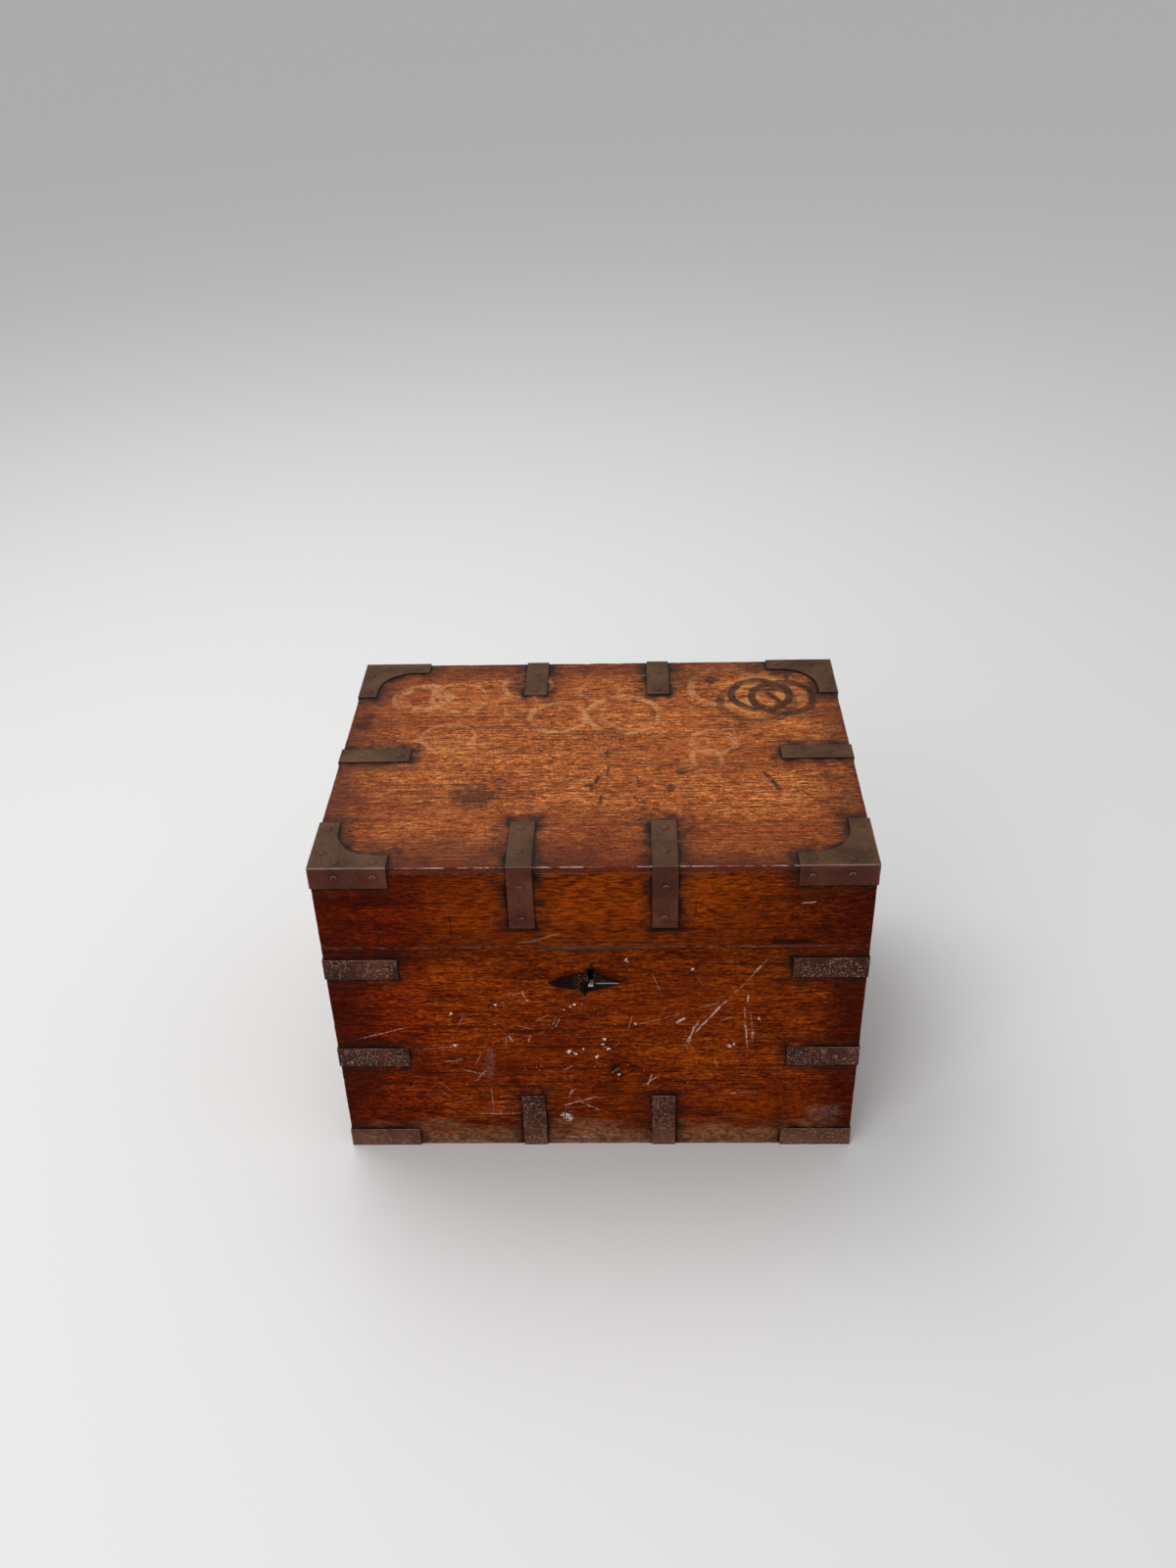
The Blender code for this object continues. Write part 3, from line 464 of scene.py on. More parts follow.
def teak(name, tones, turn, cut, marks=None):
    """Teak: fine streaks, fibres and open pores along the grain, iron stain and a dark line of dirt and
    painted shade by the irons, a painted highlight on the rubbed arrises, bare wood inside.
    """
    finish, shader, place = new_finish(name)
    moved = {"Vector": place, "Location": cut, "Rotation": (0, 0, turn)}
    along = place.node("ShaderNodeMapping", None, moved)
    cloud = grained(along, (9, 18, 18), 4, 0.6)
    streak = grained(along, (20, 230, 230), 3, 0.4)
    fibre = grained(along, tones["fibres"], 3, 0.4)
    fleck = grained(along, tones["flecks"], 2, 0.5)
    pores = grained(along, (62, 350, 350), 2, 0.3).rise(0.58, 0.63)
    cracks = grained(along, (9, 330, 330), 3, 0.3).rise(0.57, 0.63)
    tone = cloud * 0.18 + streak * 0.08 + fibre * 0.37 + fleck * 0.37
    wood = tone.ramp(tones["figure"])
    bare = cloud * 0.2 + streak * 0.35 + fibre * 0.35 + fleck * 0.1
    raw = (pores * 0.35).blend(bare.ramp(RAW_TEAK), RAW_PORE)
    ember = grained(along, (4, 11, 11), 3, 0.4).rise(0.42, 0.62)
    surface = (ember * 0.4).blend(wood, tones["deep"])
    surface = (pores * tones["pore_depth"]).most(cracks * 0.6).blend(surface, tones["pore"])
    rough = tones["roughness"] + fibre * 0.14 + pores * 0.2
    if marks:
        surface, rough = marks(place, along, tone, surface, rough)
    smudge = grained(along, (16, 22, 22), 4)
    grime = grained(place, (64, 64, 64), 4)
    near_iron = noted(place, "iron_gap")
    # line: a dark line close round each iron, partly dirt and partly painted shade where iron meets
    # wood; halo: the iron's own stain soaking into the wood.
    line = (near_iron + grime * 0.012).rise(0.0105, 0.0055)
    halo = (near_iron + grime * 0.050).rise(0.046, 0.020)
    # Darker towards each board's outer edges.
    edge = (noted(place, "edge_gap") + smudge * 0.12).rise(0.13, 0.05)
    inside = noted(place, "inside")
    surface = (edge * tones["edge_depth"]).blend(surface, tones["edge"])
    surface = (halo * tones["stain_depth"]).blend(surface, IRON_STAIN)
    surface = (line * 0.92).blend(surface, DIRT_AND_SHADE)
    # Along the arrises: pale rubbed wear with a painted highlight, broken up by noise.
    rub = (noted(place, "arris_gap") + smudge * 0.0024).rise(0.0023, 0.0012)
    rub = rub * grained(place, (150, 300, 300), 3).rise(0.36, 0.58)
    surface = (rub * tones["rub_depth"]).blend(surface, tones["rub"])
    surface = inside.blend(surface, raw)
    height = fibre * 0.6 + fleck * 0.3 - pores * 0.9
    bump = place.node("ShaderNodeBump", None, {"Height": height, "Strength": 0.4, "Distance": 0.0004})
    rough = rough.most(inside * RAW_ROUGHNESS)
    feed(shader, Base_Color=surface, Roughness=rough, Specular_IOR_Level=tones["shine"], Normal=bump)
    return finish


VARNISHED = {
    "figure": [
        (0.40, colour(58, 15, 2)),
        (0.47, colour(105, 36, 3)),
        (0.53, colour(129, 50, 4)),
        (0.60, colour(168, 78, 8)),
    ],
    "fibres": (64, 450, 450),
    "flecks": (210, 500, 500),
    "deep": colour(90, 24, 2),
    "pore": colour(30, 7, 2),
    "pore_depth": 0.5,
    "edge": colour(46, 9, 3),
    "edge_depth": 0.5,
    "stain_depth": 0.7,
    # The arris colour: pale rubbed wear and a painted highlight.
    "rub": colour(136, 100, 94),
    "rub_depth": 0.5,
    "roughness": 0.30,
    "shine": 0.015,
}

# Marks on the body's front, in millimetres across and up: scratches from end to end, with half their
# widths and their strength, chips through the varnish with their radii, and oval stains.
MM = 0.001
DEPTHLESS = 1000
SCRATCHES = [
    (-259, 160, -195, 180, 0.9, 0.6),
    (90, 147, 109, 191, 0.9, 0.9),
    (94, 146, 103, 184, 0.8, 0.8),
    (100, 165, 134, 216, 0.9, 0.9),
    (103, 168, 141, 224, 0.8, 0.8),
    (141, 224, 153, 239, 0.6, 0.5),
    (153, 239, 176, 273, 0.8, 0.7),
    (161, 253, 169, 263, 1.2, 0.9),
    (37, 179, 99, 200, 0.7, 0.5),
    (104, 204, 128, 211, 0.7, 0.5),
    (118, 179, 153, 199, 0.6, 0.4),
    (156, 223, 156, 211, 1.4, 0.8),
    (153, 207, 155, 188, 0.7, 0.6),
    (154, 188, 159, 145, 1.2, 0.8),
    (163, 171, 163, 161, 1.8, 0.9),
    (160, 202, 164, 152, 0.6, 0.4),
    (83, 183, 93, 191, 2, 1),
    (57, 252, 70, 219, 0.7, 0.35),
    (101, 251, 111, 234, 0.6, 0.35),
    (-76, 230, -70, 213, 1.4, 1),
    (-96, 224, -75, 225, 0.9, 0.5),
    (-41, 194, -46, 180, 0.9, 0.7),
    (-38, 191, -43, 177, 0.8, 0.6),
    (-69, 168, -72, 156, 1.1, 0.9),
    (-93, 167, -88, 156, 0.9, 0.8),
    (-39, 114, -26, 121, 0.8, 0.6),
    (14, 110, 23, 118, 0.9, 0.9),
    (-165, 128, -142, 132, 0.8, 0.5),
    (-198, 144, -144, 152, 0.6, 0.5),
    (-147, 117, -118, 108, 0.9, 0.7),
    (-132, 99, -118, 117, 0.9, 0.6),
    (-117, 98, -114, 154, 8, 0.08),
    (-115, 93, -116, 44, 0.9, 0.3),
    (-148, 48, -84, 49, 1, 0.8),
    (-43, 60, 3, 76, 1.1, 0.9),
    (-22, 68, 3, 53, 1.1, 0.9),
    (-27, 87, -33, 72, 2, 0.4),
    (50, 92, 67, 109, 0.8, 0.7),
    (53, 89, 58, 112, 0.8, 0.7),
    (140, 80, 167, 81, 0.8, 0.7),
    (-41, 11.8, 0, 11.2, 1.4, 1),
    (120, 43, 165, 44, 0.7, 0.4),
    (222, 50, 268, 52, 15, 0.12),
]
CHIPS = [
    (-104, 210, 1.4),
    (-151, 198, 1.6),
    (-27, 208, 1.5),
    (-22, 210, 1.7),
    (-15, 209, 1.3),
    (-33, 203, 1.2),
    (-30, 143, 2.6),
    (-23, 140, 2),
    (-14, 147, 1.5),
    (8, 161, 1.6),
    (12, 147, 2.2),
    (6, 153, 1.4),
    (0, 135, 2.2),
    (169, 189, 1.7),
    (99, 257, 1.8),
    (32, 270, 2.2),
    (40, 183, 1.4),
    (-150, 152, 2.2),
    (-36, 46, 4.4),
    (-32, 41, 4),
    (139, 150, 2),
    (144, 153, 1.5),
    (23, 109, 1.5),
]
STAINS = [
    (-235, 276, 60, 14, 0.50),
    (264, 160, 34, 150, 0.50),
    (258, 40, 34, 34, 0.60),
    (-262, 150, 46, 170, 0.55),
    (170, 268, 30, 20, 0.30),
    (-6, 245, 41, 15, 0.75),
    (17, 110, 12, 75, 0.35),
    (185, 165, 45, 30, 0.25),
    (40, 165, 30, 25, 0.22),
    (-190, 115, 32, 25, 0.28),
]
KNOT = (28, 118, 13, 9)
WORN_HEIGHT = 130 * MM
SCRATCH_COLOUR = colour(206, 174, 166)
CHIP_COLOUR = colour(244, 230, 222)
SCUFF_BAND = colour(186, 138, 100)
OLD_VARNISH = colour(38, 5, 1)
RED_VARNISH = three_tones((44, 4, 1), (96, 13, 1), (150, 40, 4))


def framed(place, middle, scale, turn=(0, 0, 0)):
    """A place as it lies from a mark's own middle, in the mark's own sizes."""
    lie = {"Vector": place, "Location": middle, "Rotation": turn, "Scale": scale}
    return place.node("ShaderNodeMapping", {"vector_type": "TEXTURE"}, lie)


def spot(place, across, up, half_width, half_height):
    """How far off the middle of a front's oval, given in millimetres, a point lies, 1 being its rim."""
    scale = (half_width * MM, DEPTHLESS, half_height * MM)
    return framed(place, (across * MM, 0, up * MM), scale).vector("LENGTH", {}, "Value")


def stroke(place, left, low, right, high, half_width, strength, upright=True):
    """A straight mark between two points, in millimetres, of a front or the lid, soft at its rims."""
    across, up = (right - left) * MM, (high - low) * MM
    middle = (left + right) / 2 * MM, (low + high) / 2 * MM
    slope = math.atan2(up, across)
    scale = (math.hypot(across, up) / 2, half_width * MM, half_width * MM)
    if upright:
        near = framed(place, (middle[0], 0, middle[1]), scale, (0, -slope, 0))
    else:
        near = framed(place, (*middle, 0), scale, (0, 0, slope))
    off = part_of(near, "Z" if upright else "Y")
    return abs(part_of(near, "X")).rise(1, 0.6) * abs(off).rise(1, 0.25) * strength


def hairlines(place, cells, length, half_width, share):
    """Short scratches at every angle, at most one to a cell, on a share of the cells."""
    inputs = {"Vector": place, "Scale": cells}
    seat = place.node("ShaderNodeTexVoronoi", None, inputs, "Position")
    chance = place.node("ShaderNodeTexVoronoi", None, inputs, "Color")
    lie = {"Vector": place.vector("SUBTRACT", {1: seat}), "Angle": part_of(chance, "X") * math.tau}
    turned = place.node("ShaderNodeVectorRotate", {"rotation_type": "Y_AXIS"}, lie)
    stripe = abs(part_of(turned, "Z")).rise(half_width, half_width * 0.3)
    reach = abs(part_of(turned, "X")).rise(length, length * 0.6)
    return stripe * reach * part_of(chance, "Y").rise(1 - share, 1.02 - share)


def strayed(place, cells, reach):
    """A place pushed about by slow noise, so that what is drawn on it comes out uneven."""
    wobble = place.node("ShaderNodeTexNoise", None, {"Vector": place, "Scale": cells}, "Color")
    drift = wobble.vector("SUBTRACT", {1: (0.5, 0.5, 0.5)}).vector("SCALE", {"Scale": reach})
    return place.vector("ADD", {1: drift})


def strongest(marks):
    """Many marks in one: at each point, the strongest of them."""
    return reduce(Shade.most, marks)


def stained(place, stains, surface):
    """Darkens oval stains, given by middle, half sizes and strength, with cloudy rims."""
    cloud = grained(place, (70, 70, 70), 4) - 0.5
    dark = strongest(
        (spot(place, *oval) + cloud).rise(1.15, 0.45) * strength for *oval, strength in stains
    )
    return dark.blend(surface, OLD_VARNISH)


def red_ended(place, tone, surface):
    """Reddens both ends of a front, the left one more, where the varnish lies thick."""
    across = part_of(place, "X") + grained(place, (16, 16, 16), 4) * 0.10
    red = (across.rise(-0.06, -0.18) * 0.6).most(across.rise(0.26, 0.32) * 0.35)
    return red.blend(surface, tone.ramp(RED_VARNISH))


def scuffed(place, along, tone, surface, rough):
    """The body's foot, scuffed grey on every side."""
    foot = (part_of(place, "Z") + grained(place, (26, 26, 60), 4) * 0.060).rise(0.072, 0.036)
    foot = foot * (0.3 + grained(along, (200, 330, 330), 4).rise(0.40, 0.62) * 0.7)
    return (foot * 0.8).blend(surface, SCUFF_BAND), rough + foot * 0.3


def knocked_about(place, along, tone, surface, rough):
    """The front's wear: stains, a knot, scratches and chips through the varnish, and a scuffed foot."""
    astray = strayed(place, 60, 0.003)
    surface = stained(place, STAINS, red_ended(place, tone, surface))
    off_knot = spot(strayed(place, 120, 0.009), *KNOT)
    eye = (off_knot.rise(0.9, 0.1) * 0.5).most(abs(off_knot - 0.9).rise(0.34, 0.06) * 0.8)
    surface = (eye * 0.85).blend(surface, DIRT_AND_SHADE)
    surface, rough = scuffed(place, along, tone, surface, rough)
    off_middle = abs(part_of(place, "Z") - WORN_HEIGHT)
    worn = abs(part_of(place, "X")).rise(0.25, 0.10) * off_middle.rise(0.13, 0.05)
    cuts = strongest(stroke(astray, *scratch) for scratch in SCRATCHES)
    cuts = cuts * (0.15 + grained(place, (320, 320, 320), 3).rise(0.40, 0.60) * 0.85)
    fine = hairlines(astray, 34, 0.010, 0.0005, 0.36) * grained(place, (17, 17, 17), 3).rise(0.46, 0.60)
    surface = cuts.most(fine * worn * 0.45).blend(surface, SCRATCH_COLOUR)
    ragged = (0.5 - grained(place, (420, 420, 420), 3)) * 6
    chips = strongest((spot(place, x, z, r, r) + ragged).rise(0.9, 0.3) for x, z, r in CHIPS)
    specks = grained(place, (420, 420, 420), 2).rise(0.70, 0.75) * worn
    surface = (specks * 0.6).most(chips * 0.85).blend(surface, CHIP_COLOUR)
    return surface, rough + cuts * 0.25


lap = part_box("body_left")[0].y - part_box("body_front")[0].y - LAP_GAP
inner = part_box("body_front")[1].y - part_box("body_front")[0].y + LAP_GAP
body_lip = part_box("body_front")[0].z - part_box("body_floor")[0].z - LAP_GAP
BODY_BOARDS = {
    "body_floor": ("bottom", body_lip, (inner, inner, 0)),
    "body_left": ("left", None, None),
    "body_right": ("right", None, None),
    "body_front": ("front", lap, (inner, 0, 0)),
    "body_back": ("back", lap, (inner, 0, 0)),
}
BODY_LOG_STEP = (0.7, 0.31)
LOCK_FRONT_WOOD = 0.0062
SELVEDGE = 0.0030
KEYHOLE_RADIUS = 0.0039
KEYHOLE_SLOT = (0.0064, 0.0200)
KEYHOLE_REACH = 0.05
KEYHOLE_SIDES = 32
UPRIGHT = (math.pi / 2, 0, 0)
pin_low, pin_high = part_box("drill_pin")
keyhole = (pin_low + pin_high) / 2


def cut_for_lock(piece):
    """Cuts the front board for the lock: the pocket behind, the notch in its rim, and the keyhole."""
    low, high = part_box("lock_case")
    slack = Vector((LAP_GAP, LAP_GAP, LAP_GAP))
    beyond = high + Vector((LAP_GAP, SELVEDGE, SELVEDGE))
    cut_out(piece, low + Vector((0, LOCK_FRONT_WOOD, 0)) - slack, beyond)
    cut_out(piece, (low.x - LAP_GAP, low.y - SELVEDGE, high.z - SELVEDGE - LAP_GAP), beyond)
    bpy.ops.mesh.primitive_cylinder_add(
        vertices=KEYHOLE_SIDES,
        radius=KEYHOLE_RADIUS,
        depth=KEYHOLE_REACH,
        location=keyhole,
        rotation=UPRIGHT,
    )
    cut_with(piece, bpy.context.object)
    half, drop = KEYHOLE_SLOT[0] / 2, KEYHOLE_SLOT[1]
    corner = (keyhole.x - half, low.y - SELVEDGE, keyhole.z - drop)
    cut_out(piece, corner, (keyhole.x + half, high.y, keyhole.z))


def level_grain(face):
    """The turn that lays the grain level along a board."""
    return math.pi / 2 if face in ("left", "right") else 0


for seed, (node, (face, lip, shoulder)) in enumerate(BODY_BOARDS.items()):
    piece = board(node, face, ARRIS, lip, shoulder)
    knock_arris(piece, node, ARRIS_WEAR, seed)
    if face == "front":
        cut_for_lock(piece)
    note_wear(piece, node, face)
    marks = knocked_about if face == "front" else scuffed
    cut = (seed * BODY_LOG_STEP[0], seed * BODY_LOG_STEP[1], 0)
    finish = teak(node + "_teak", VARNISHED, level_grain(face), cut, marks)
    set_on(piece, finish, "chest", "body_teak", node)

# The lid boards: the same teak, lapped in the same way, under a lipped top board.  The top has dried
# and faded in the light and is ringed by wet vessels; the front is still dark with varnish.
FADED = {
    "figure": [
        (0.40, colour(86, 35, 11)),
        (0.47, colour(146, 73, 25)),
        (0.53, colour(172, 92, 37)),
        (0.60, colour(214, 140, 72)),
    ],
    "fibres": (80, 450, 450),
    "flecks": (330, 480, 480),
    "deep": colour(138, 62, 22),
    "pore": colour(54, 23, 11),
    "pore_depth": 0.7,
    "edge": colour(66, 25, 12),
    "edge_depth": 0.7,
    "stain_depth": 0.9,
    # The arris colour: pale rubbed wear and a painted highlight.
    "rub": colour(220, 196, 192),
    "rub_depth": 0.75,
    "roughness": 0.45,
    "shine": 0.10,
}
FADED_RED = colour(102, 34, 5)
FURROW = colour(84, 42, 20)
RING_PALE = colour(200, 144, 94)
BLEACHED_TEAK = colour(208, 142, 74)
INK_AND_SHADOW = colour(36, 22, 17)
RIM_RED = colour(112, 22, 3)

# Marks on the lid's top, in millimetres to the right and back: rings with their radii, half their widths
# and their strength, strokes of ink as the scratches are given, and dark patches and blots.
PALE_RINGS = [
    (-197, 118, 27, 6, 0.9),
    (-206, 116, 27, 4.6, 0.5),
    (-180, 111, 11, 3.4, 0.8),
    (-158, 117, 32, 3.4, 0.7),
    (-82, 144, 27, 4, 0.8),
    (-42, 72, 32, 4.2, 0.8),
    (30, 76, 40, 4.6, 0.8),
    (38, 78, 32, 3.4, 0.5),
    (3, 129, 22, 3.4, 0.4),
    (-163, 32, 29, 3.4, 0.5),
    (149, 135, 41, 5.6, 0.8),
    (119, -16, 17, 3.4, 0.6),
    (129, 17, 23, 4.6, 0.5),
]
DARK_RINGS = [
    (187, 117, 33, 7.2, 1),
    (213, 110, 35, 6.4, 1),
    (199, 109, 21, 5, 0.9),
    (182, 102, 42, 6.6, 0.65),
]
INK_LINES = [
    (192, 128, 209, 92, 5.6, 1),
    (168, 130, 181, 129, 3, 0.9),
    (205, 149, 217, 142, 4.4, 0.9),
    (221, 165, 223, 140, 3.6, 0.9),
    (217, 142, 220, 109, 4.2, 0.9),
    (-20, -31, -7, -34, 3.6, 0.9),
    (16, -27, 13, -47, 3.2, 0.95),
    (11, 0, 14, -14, 2.8, 0.8),
    (5, -46, -1, -64, 4, 1),
    (0, -63, -12, -69, 3.6, 1),
    (-2, -66, -2, -79, 3, 0.85),
    (8, -84, 6, -101, 3.4, 0.95),
    (46, -46, 47, -64, 2, 0.8),
    (47, -99, 56, -100, 3.4, 0.8),
    (46, -109, 55, -110, 3.2, 0.8),
    (-30, -54, -12, -49, 3.4, 0.75),
    (83, -19, 91, -20, 3, 0.8),
    (177, -42, 186, -56, 3.6, 0.9),
    (185, -54, 193, -80, 4, 1),
    (204, -71, 234, -98, 2.6, 0.6),
    (141, -3, 160, 4, 3.6, 0.8),
]
BLEACHED = (190, 116, 50)
# The lifted back-right corner bracket: middle and reach in millimetres, within which a painted shadow
# line runs along the bracket's edge.
LIFTED_CORNER = (275, 194, 100)
PATCHES = [
    (-125, -85, 22, 0.65),
    (100, 165, 26, 0.45),
    (178, 172, 14, 0.50),
    (-252, 122, 18, 0.50),
    (-20, 180, 12, 0.30),
]
BLOTS = [
    (91, -41, 4),
    (79, -71, 4),
    (-258, 76, 7),
    (-262, 60, 8),
    (133, 151, 6),
]


def ring(place, x, y, radius):
    """How far off a circle on the lid, given in millimetres, a point lies, in metres."""
    off = framed(place, (x * MM, y * MM, 0), (1, 1, DEPTHLESS))
    return off.vector("LENGTH", {}, "Value") - radius * MM


def ringed(place, rings):
    """The marks that wet vessels leave, one for each ring."""
    return strongest(
        abs(ring(place, *circle)).rise(half * MM, half / 2 * MM) * strength
        for *circle, half, strength in rings
    )


def sun_dried(place, along, tone, surface, rough):
    """The lid top's wear: redder to the front, rings, ink, varnish left on the board's edges, and a
    painted shadow along the lifted corner bracket.
    """
    astray = strayed(place, 30, 0.010)
    drift = grained(place, (16, 16, 16), 4) * 0.07
    front = (part_of(place, "Y") + drift).rise(-0.05, -0.14)
    left = (part_of(place, "X") + drift).rise(-0.10, -0.22)
    surface = (front * 0.52).most(left * 0.3).blend(surface, FADED_RED)
    furrows = grained(along, (6, 210, 210), 3, 0.35).rise(0.55, 0.62)
    surface = (furrows * 0.4).blend(surface, FURROW)
    broken = grained(place, (44, 44, 44), 4).rise(0.34, 0.54)
    broken = broken * (0.3 + grained(place, (230, 230, 230), 3).rise(0.36, 0.56) * 0.7)
    pale = ringed(astray, PALE_RINGS) * broken
    surface = (pale * 0.7).blend(surface, RING_PALE)
    golden = grained(place, (60, 120, 120), 3).rise(0.42, 0.60)
    bleached = ring(astray, *BLEACHED).rise(0.016, -0.016) * golden
    surface = (bleached * 0.5).blend(surface, BLEACHED_TEAK)
    inked = [ringed(astray, DARK_RINGS), *(stroke(astray, *line, upright=False) for line in INK_LINES)]
    ragged = grained(place, (130, 130, 130), 3)
    blots = [(ring(place, *blot) + ragged * 0.012).rise(0.0090, 0.0055) * 0.75 for blot in BLOTS]
    patches = [
        (ring(place, *circle) + ragged * 0.03).rise(0.024, 0.004) * strength
        for *circle, strength in PATCHES
    ]
    dark = strongest([strongest(inked) * (0.75 + broken * 0.25), *blots, *patches])
    # A painted shadow line along the edge of the lifted corner bracket, in the ink's colour.
    lifted_shadow = noted(place, "iron_gap").rise(0.0044, 0.0024) * ring(place, *LIFTED_CORNER).rise(0.004, 0)
    surface = (dark * 0.93).most(lifted_shadow).blend(surface, INK_AND_SHADOW)
    rim = (noted(place, "arris_gap") + ragged * 0.010).rise(0.010, 0.006)
    varnished = (rim * 0.6).most(noted(place, "flank").rise(0.2, 0.7))
    surface = varnished.blend(surface, tone.ramp(VARNISHED["figure"]))
    surface = (rim * front * 0.6).blend(surface, RIM_RED)
    return surface, rough + front * 0.05


# Marks on the lid's front, in millimetres across and up: smears of dirt and scratches, given as the
# body's are, and oval stains.
FLAME = colour(186, 84, 7)
FLAME_MIDDLE = 10 * MM
SMEARS = [
    (46, 310.5, 98, 310.5, 5, 0.9),
    (-96, 310, -52, 310, 4.5, 0.7),
    (170, 294, 224, 293.5, 5, 0.95),
    (100, 320, 102, 348, 1.6, 0.5),
    (-142, 295, -142, 333, 1, 0.7),
]
LID_SCRATCHES = [
    (203, 342, 218, 344, 1, 0.7),
    (-65, 296, -30, 306, 0.8, 0.5),
    (-78, 294, -50, 296, 0.8, 0.4),
]
LID_STAINS = [
    (250, 330, 60, 50, 0.50),
    (-255, 325, 40, 50, 0.35),
    (-225, 347, 60, 12, 0.70),
    (225, 347, 60, 12, 0.60),
]


def dark_ended(place, along, tone, surface, rough):
    """The lid front's wear: orange in the middle, dark at both ends, with smears below the straps."""
    astray = strayed(place, 50, 0.005)
    middle = abs(part_of(place, "X") - FLAME_MIDDLE).rise(0.22, 0.05)
    flames = grained(along, (70, 430, 430), 4, 0.4).rise(0.40, 0.62)
    high = part_of(place, "Z").rise(0.335, 0.370)
    surface = (middle * flames * (0.45 + high * 0.3)).blend(surface, FLAME)
    surface = stained(place, LID_STAINS, red_ended(place, tone, surface))
    surface = strongest(stroke(astray, *smear) for smear in SMEARS).blend(surface, DIRT_AND_SHADE)
    pale = strongest(stroke(astray, *scratch) for scratch in LID_SCRATCHES)
    return pale.blend(surface, SCRATCH_COLOUR), rough


lid_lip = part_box("lid_top")[1].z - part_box("lid_front")[1].z - LAP_GAP
LID_BOARDS = {
    "lid_left": ("left", None, None, None),
    "lid_right": ("right", None, None, None),
    "lid_front": ("front", lap, (inner, 0, 0), dark_ended),
    "lid_back": ("back", lap, (inner, 0, 0), None),
    "lid_top": ("top", lid_lip, (inner, inner, 0), sun_dried),
}
LID_LOG_STEP = (0.53, 0.4)
LID_LOG_RISE = 0.2
LID_SEED = 9
TOP_WEAR = 0.0012
for seed, (node, (face, lip, shoulder, marks)) in enumerate(LID_BOARDS.items()):
    on_top = face == "top"
    piece = board(node, face, TOP_ARRIS if on_top else ARRIS, lip, shoulder)
    knock_arris(piece, node, TOP_WEAR if on_top else ARRIS_WEAR, seed + LID_SEED)
    if face == "front":
        low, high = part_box("link_plate")
        slack = Vector((LAP_GAP, LAP_GAP, LAP_GAP))
        cut_out(piece, low - slack, high + slack + Vector((0, SELVEDGE, 0)))
    note_wear(piece, node, face)
    tones = FADED if on_top else VARNISHED
    cut = (seed * LID_LOG_STEP[0], seed * LID_LOG_STEP[1], LID_LOG_RISE)
    finish = teak(node + "_teak", tones, level_grain(face), cut, marks)
    set_on(piece, finish, "lid", "lid_teak", node)

# The binding: hoop iron straps and corner brackets, sheared from thin plate, bent round the edges and
# nailed on.  On the lid the iron is rubbed smooth; on the body it is pitted and flecked pale, with rust
# and with painted glints off the pits.
FORGE_CELL = 0.004
SHEARED_EDGE = 0.0003
BEND_REACH = 0.0009
LOOKS_UP = 0.5
SEAM = 1e-6
FLAT = math.radians(1)
SHARP = math.radians(40)
ROUNDED = math.radians(50)
HAMMER_WAVE = (55, 0.00014)
HAMMER_DENT = (210, 0.00008)
back_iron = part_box("middle_strap_back_left")[1].y
STRAP_FACES = {
    "lid_corner": ("top", "end", "side"),
    "bottom_corner": ("bottom", "end", "side"),
    "lid_strap_front": ("top", "front"),
    "lid_strap": ("top", "side"),
    "bottom_strap_front": ("bottom", "front"),
    "bottom_strap_back": ("bottom", "back"),
    "bottom_strap": ("bottom", "side"),
    "upper_strap": ("end", "side"),
    "middle_strap": ("end", "side"),
}


def hammered(piece, seed):
    """Leaves the hammer's waves on a forged piece, a fraction of a millimetre deep."""
    shift = Vector((seed, seed * 0.6, seed * 0.3))
    for vertex in piece.data.vertices:
        blow = 0
        for cells, depth in (HAMMER_WAVE, HAMMER_DENT):
            blow += noise.noise(vertex.co * cells + shift) * depth
        vertex.co = vertex.co + vertex.normal * blow


def copied(node, ending):
    """A copy of a plain node's mesh to work on, its seams closed and its flat faces whole again."""
    piece = bpy.data.objects.new(node + ending, frame["nodes"][node].data.copy())
    scene.collection.objects.link(piece)
    piece.data.materials.clear()
    alone(piece)
    bpy.ops.object.mode_set(mode="EDIT")
    bpy.ops.mesh.customdata_custom_splitnormals_clear()
    bpy.ops.mesh.select_all(action="SELECT")
    bpy.ops.mesh.remove_doubles(threshold=SEAM)
    bpy.ops.mesh.dissolve_limited(angle_limit=FLAT)
    bpy.ops.object.mode_set(mode="OBJECT")
    return piece


def iron_box(node):
    """An iron's box without any hinge knuckle behind it."""
    low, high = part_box(node)
    high.y = min(high.y, back_iron)
    return low, high


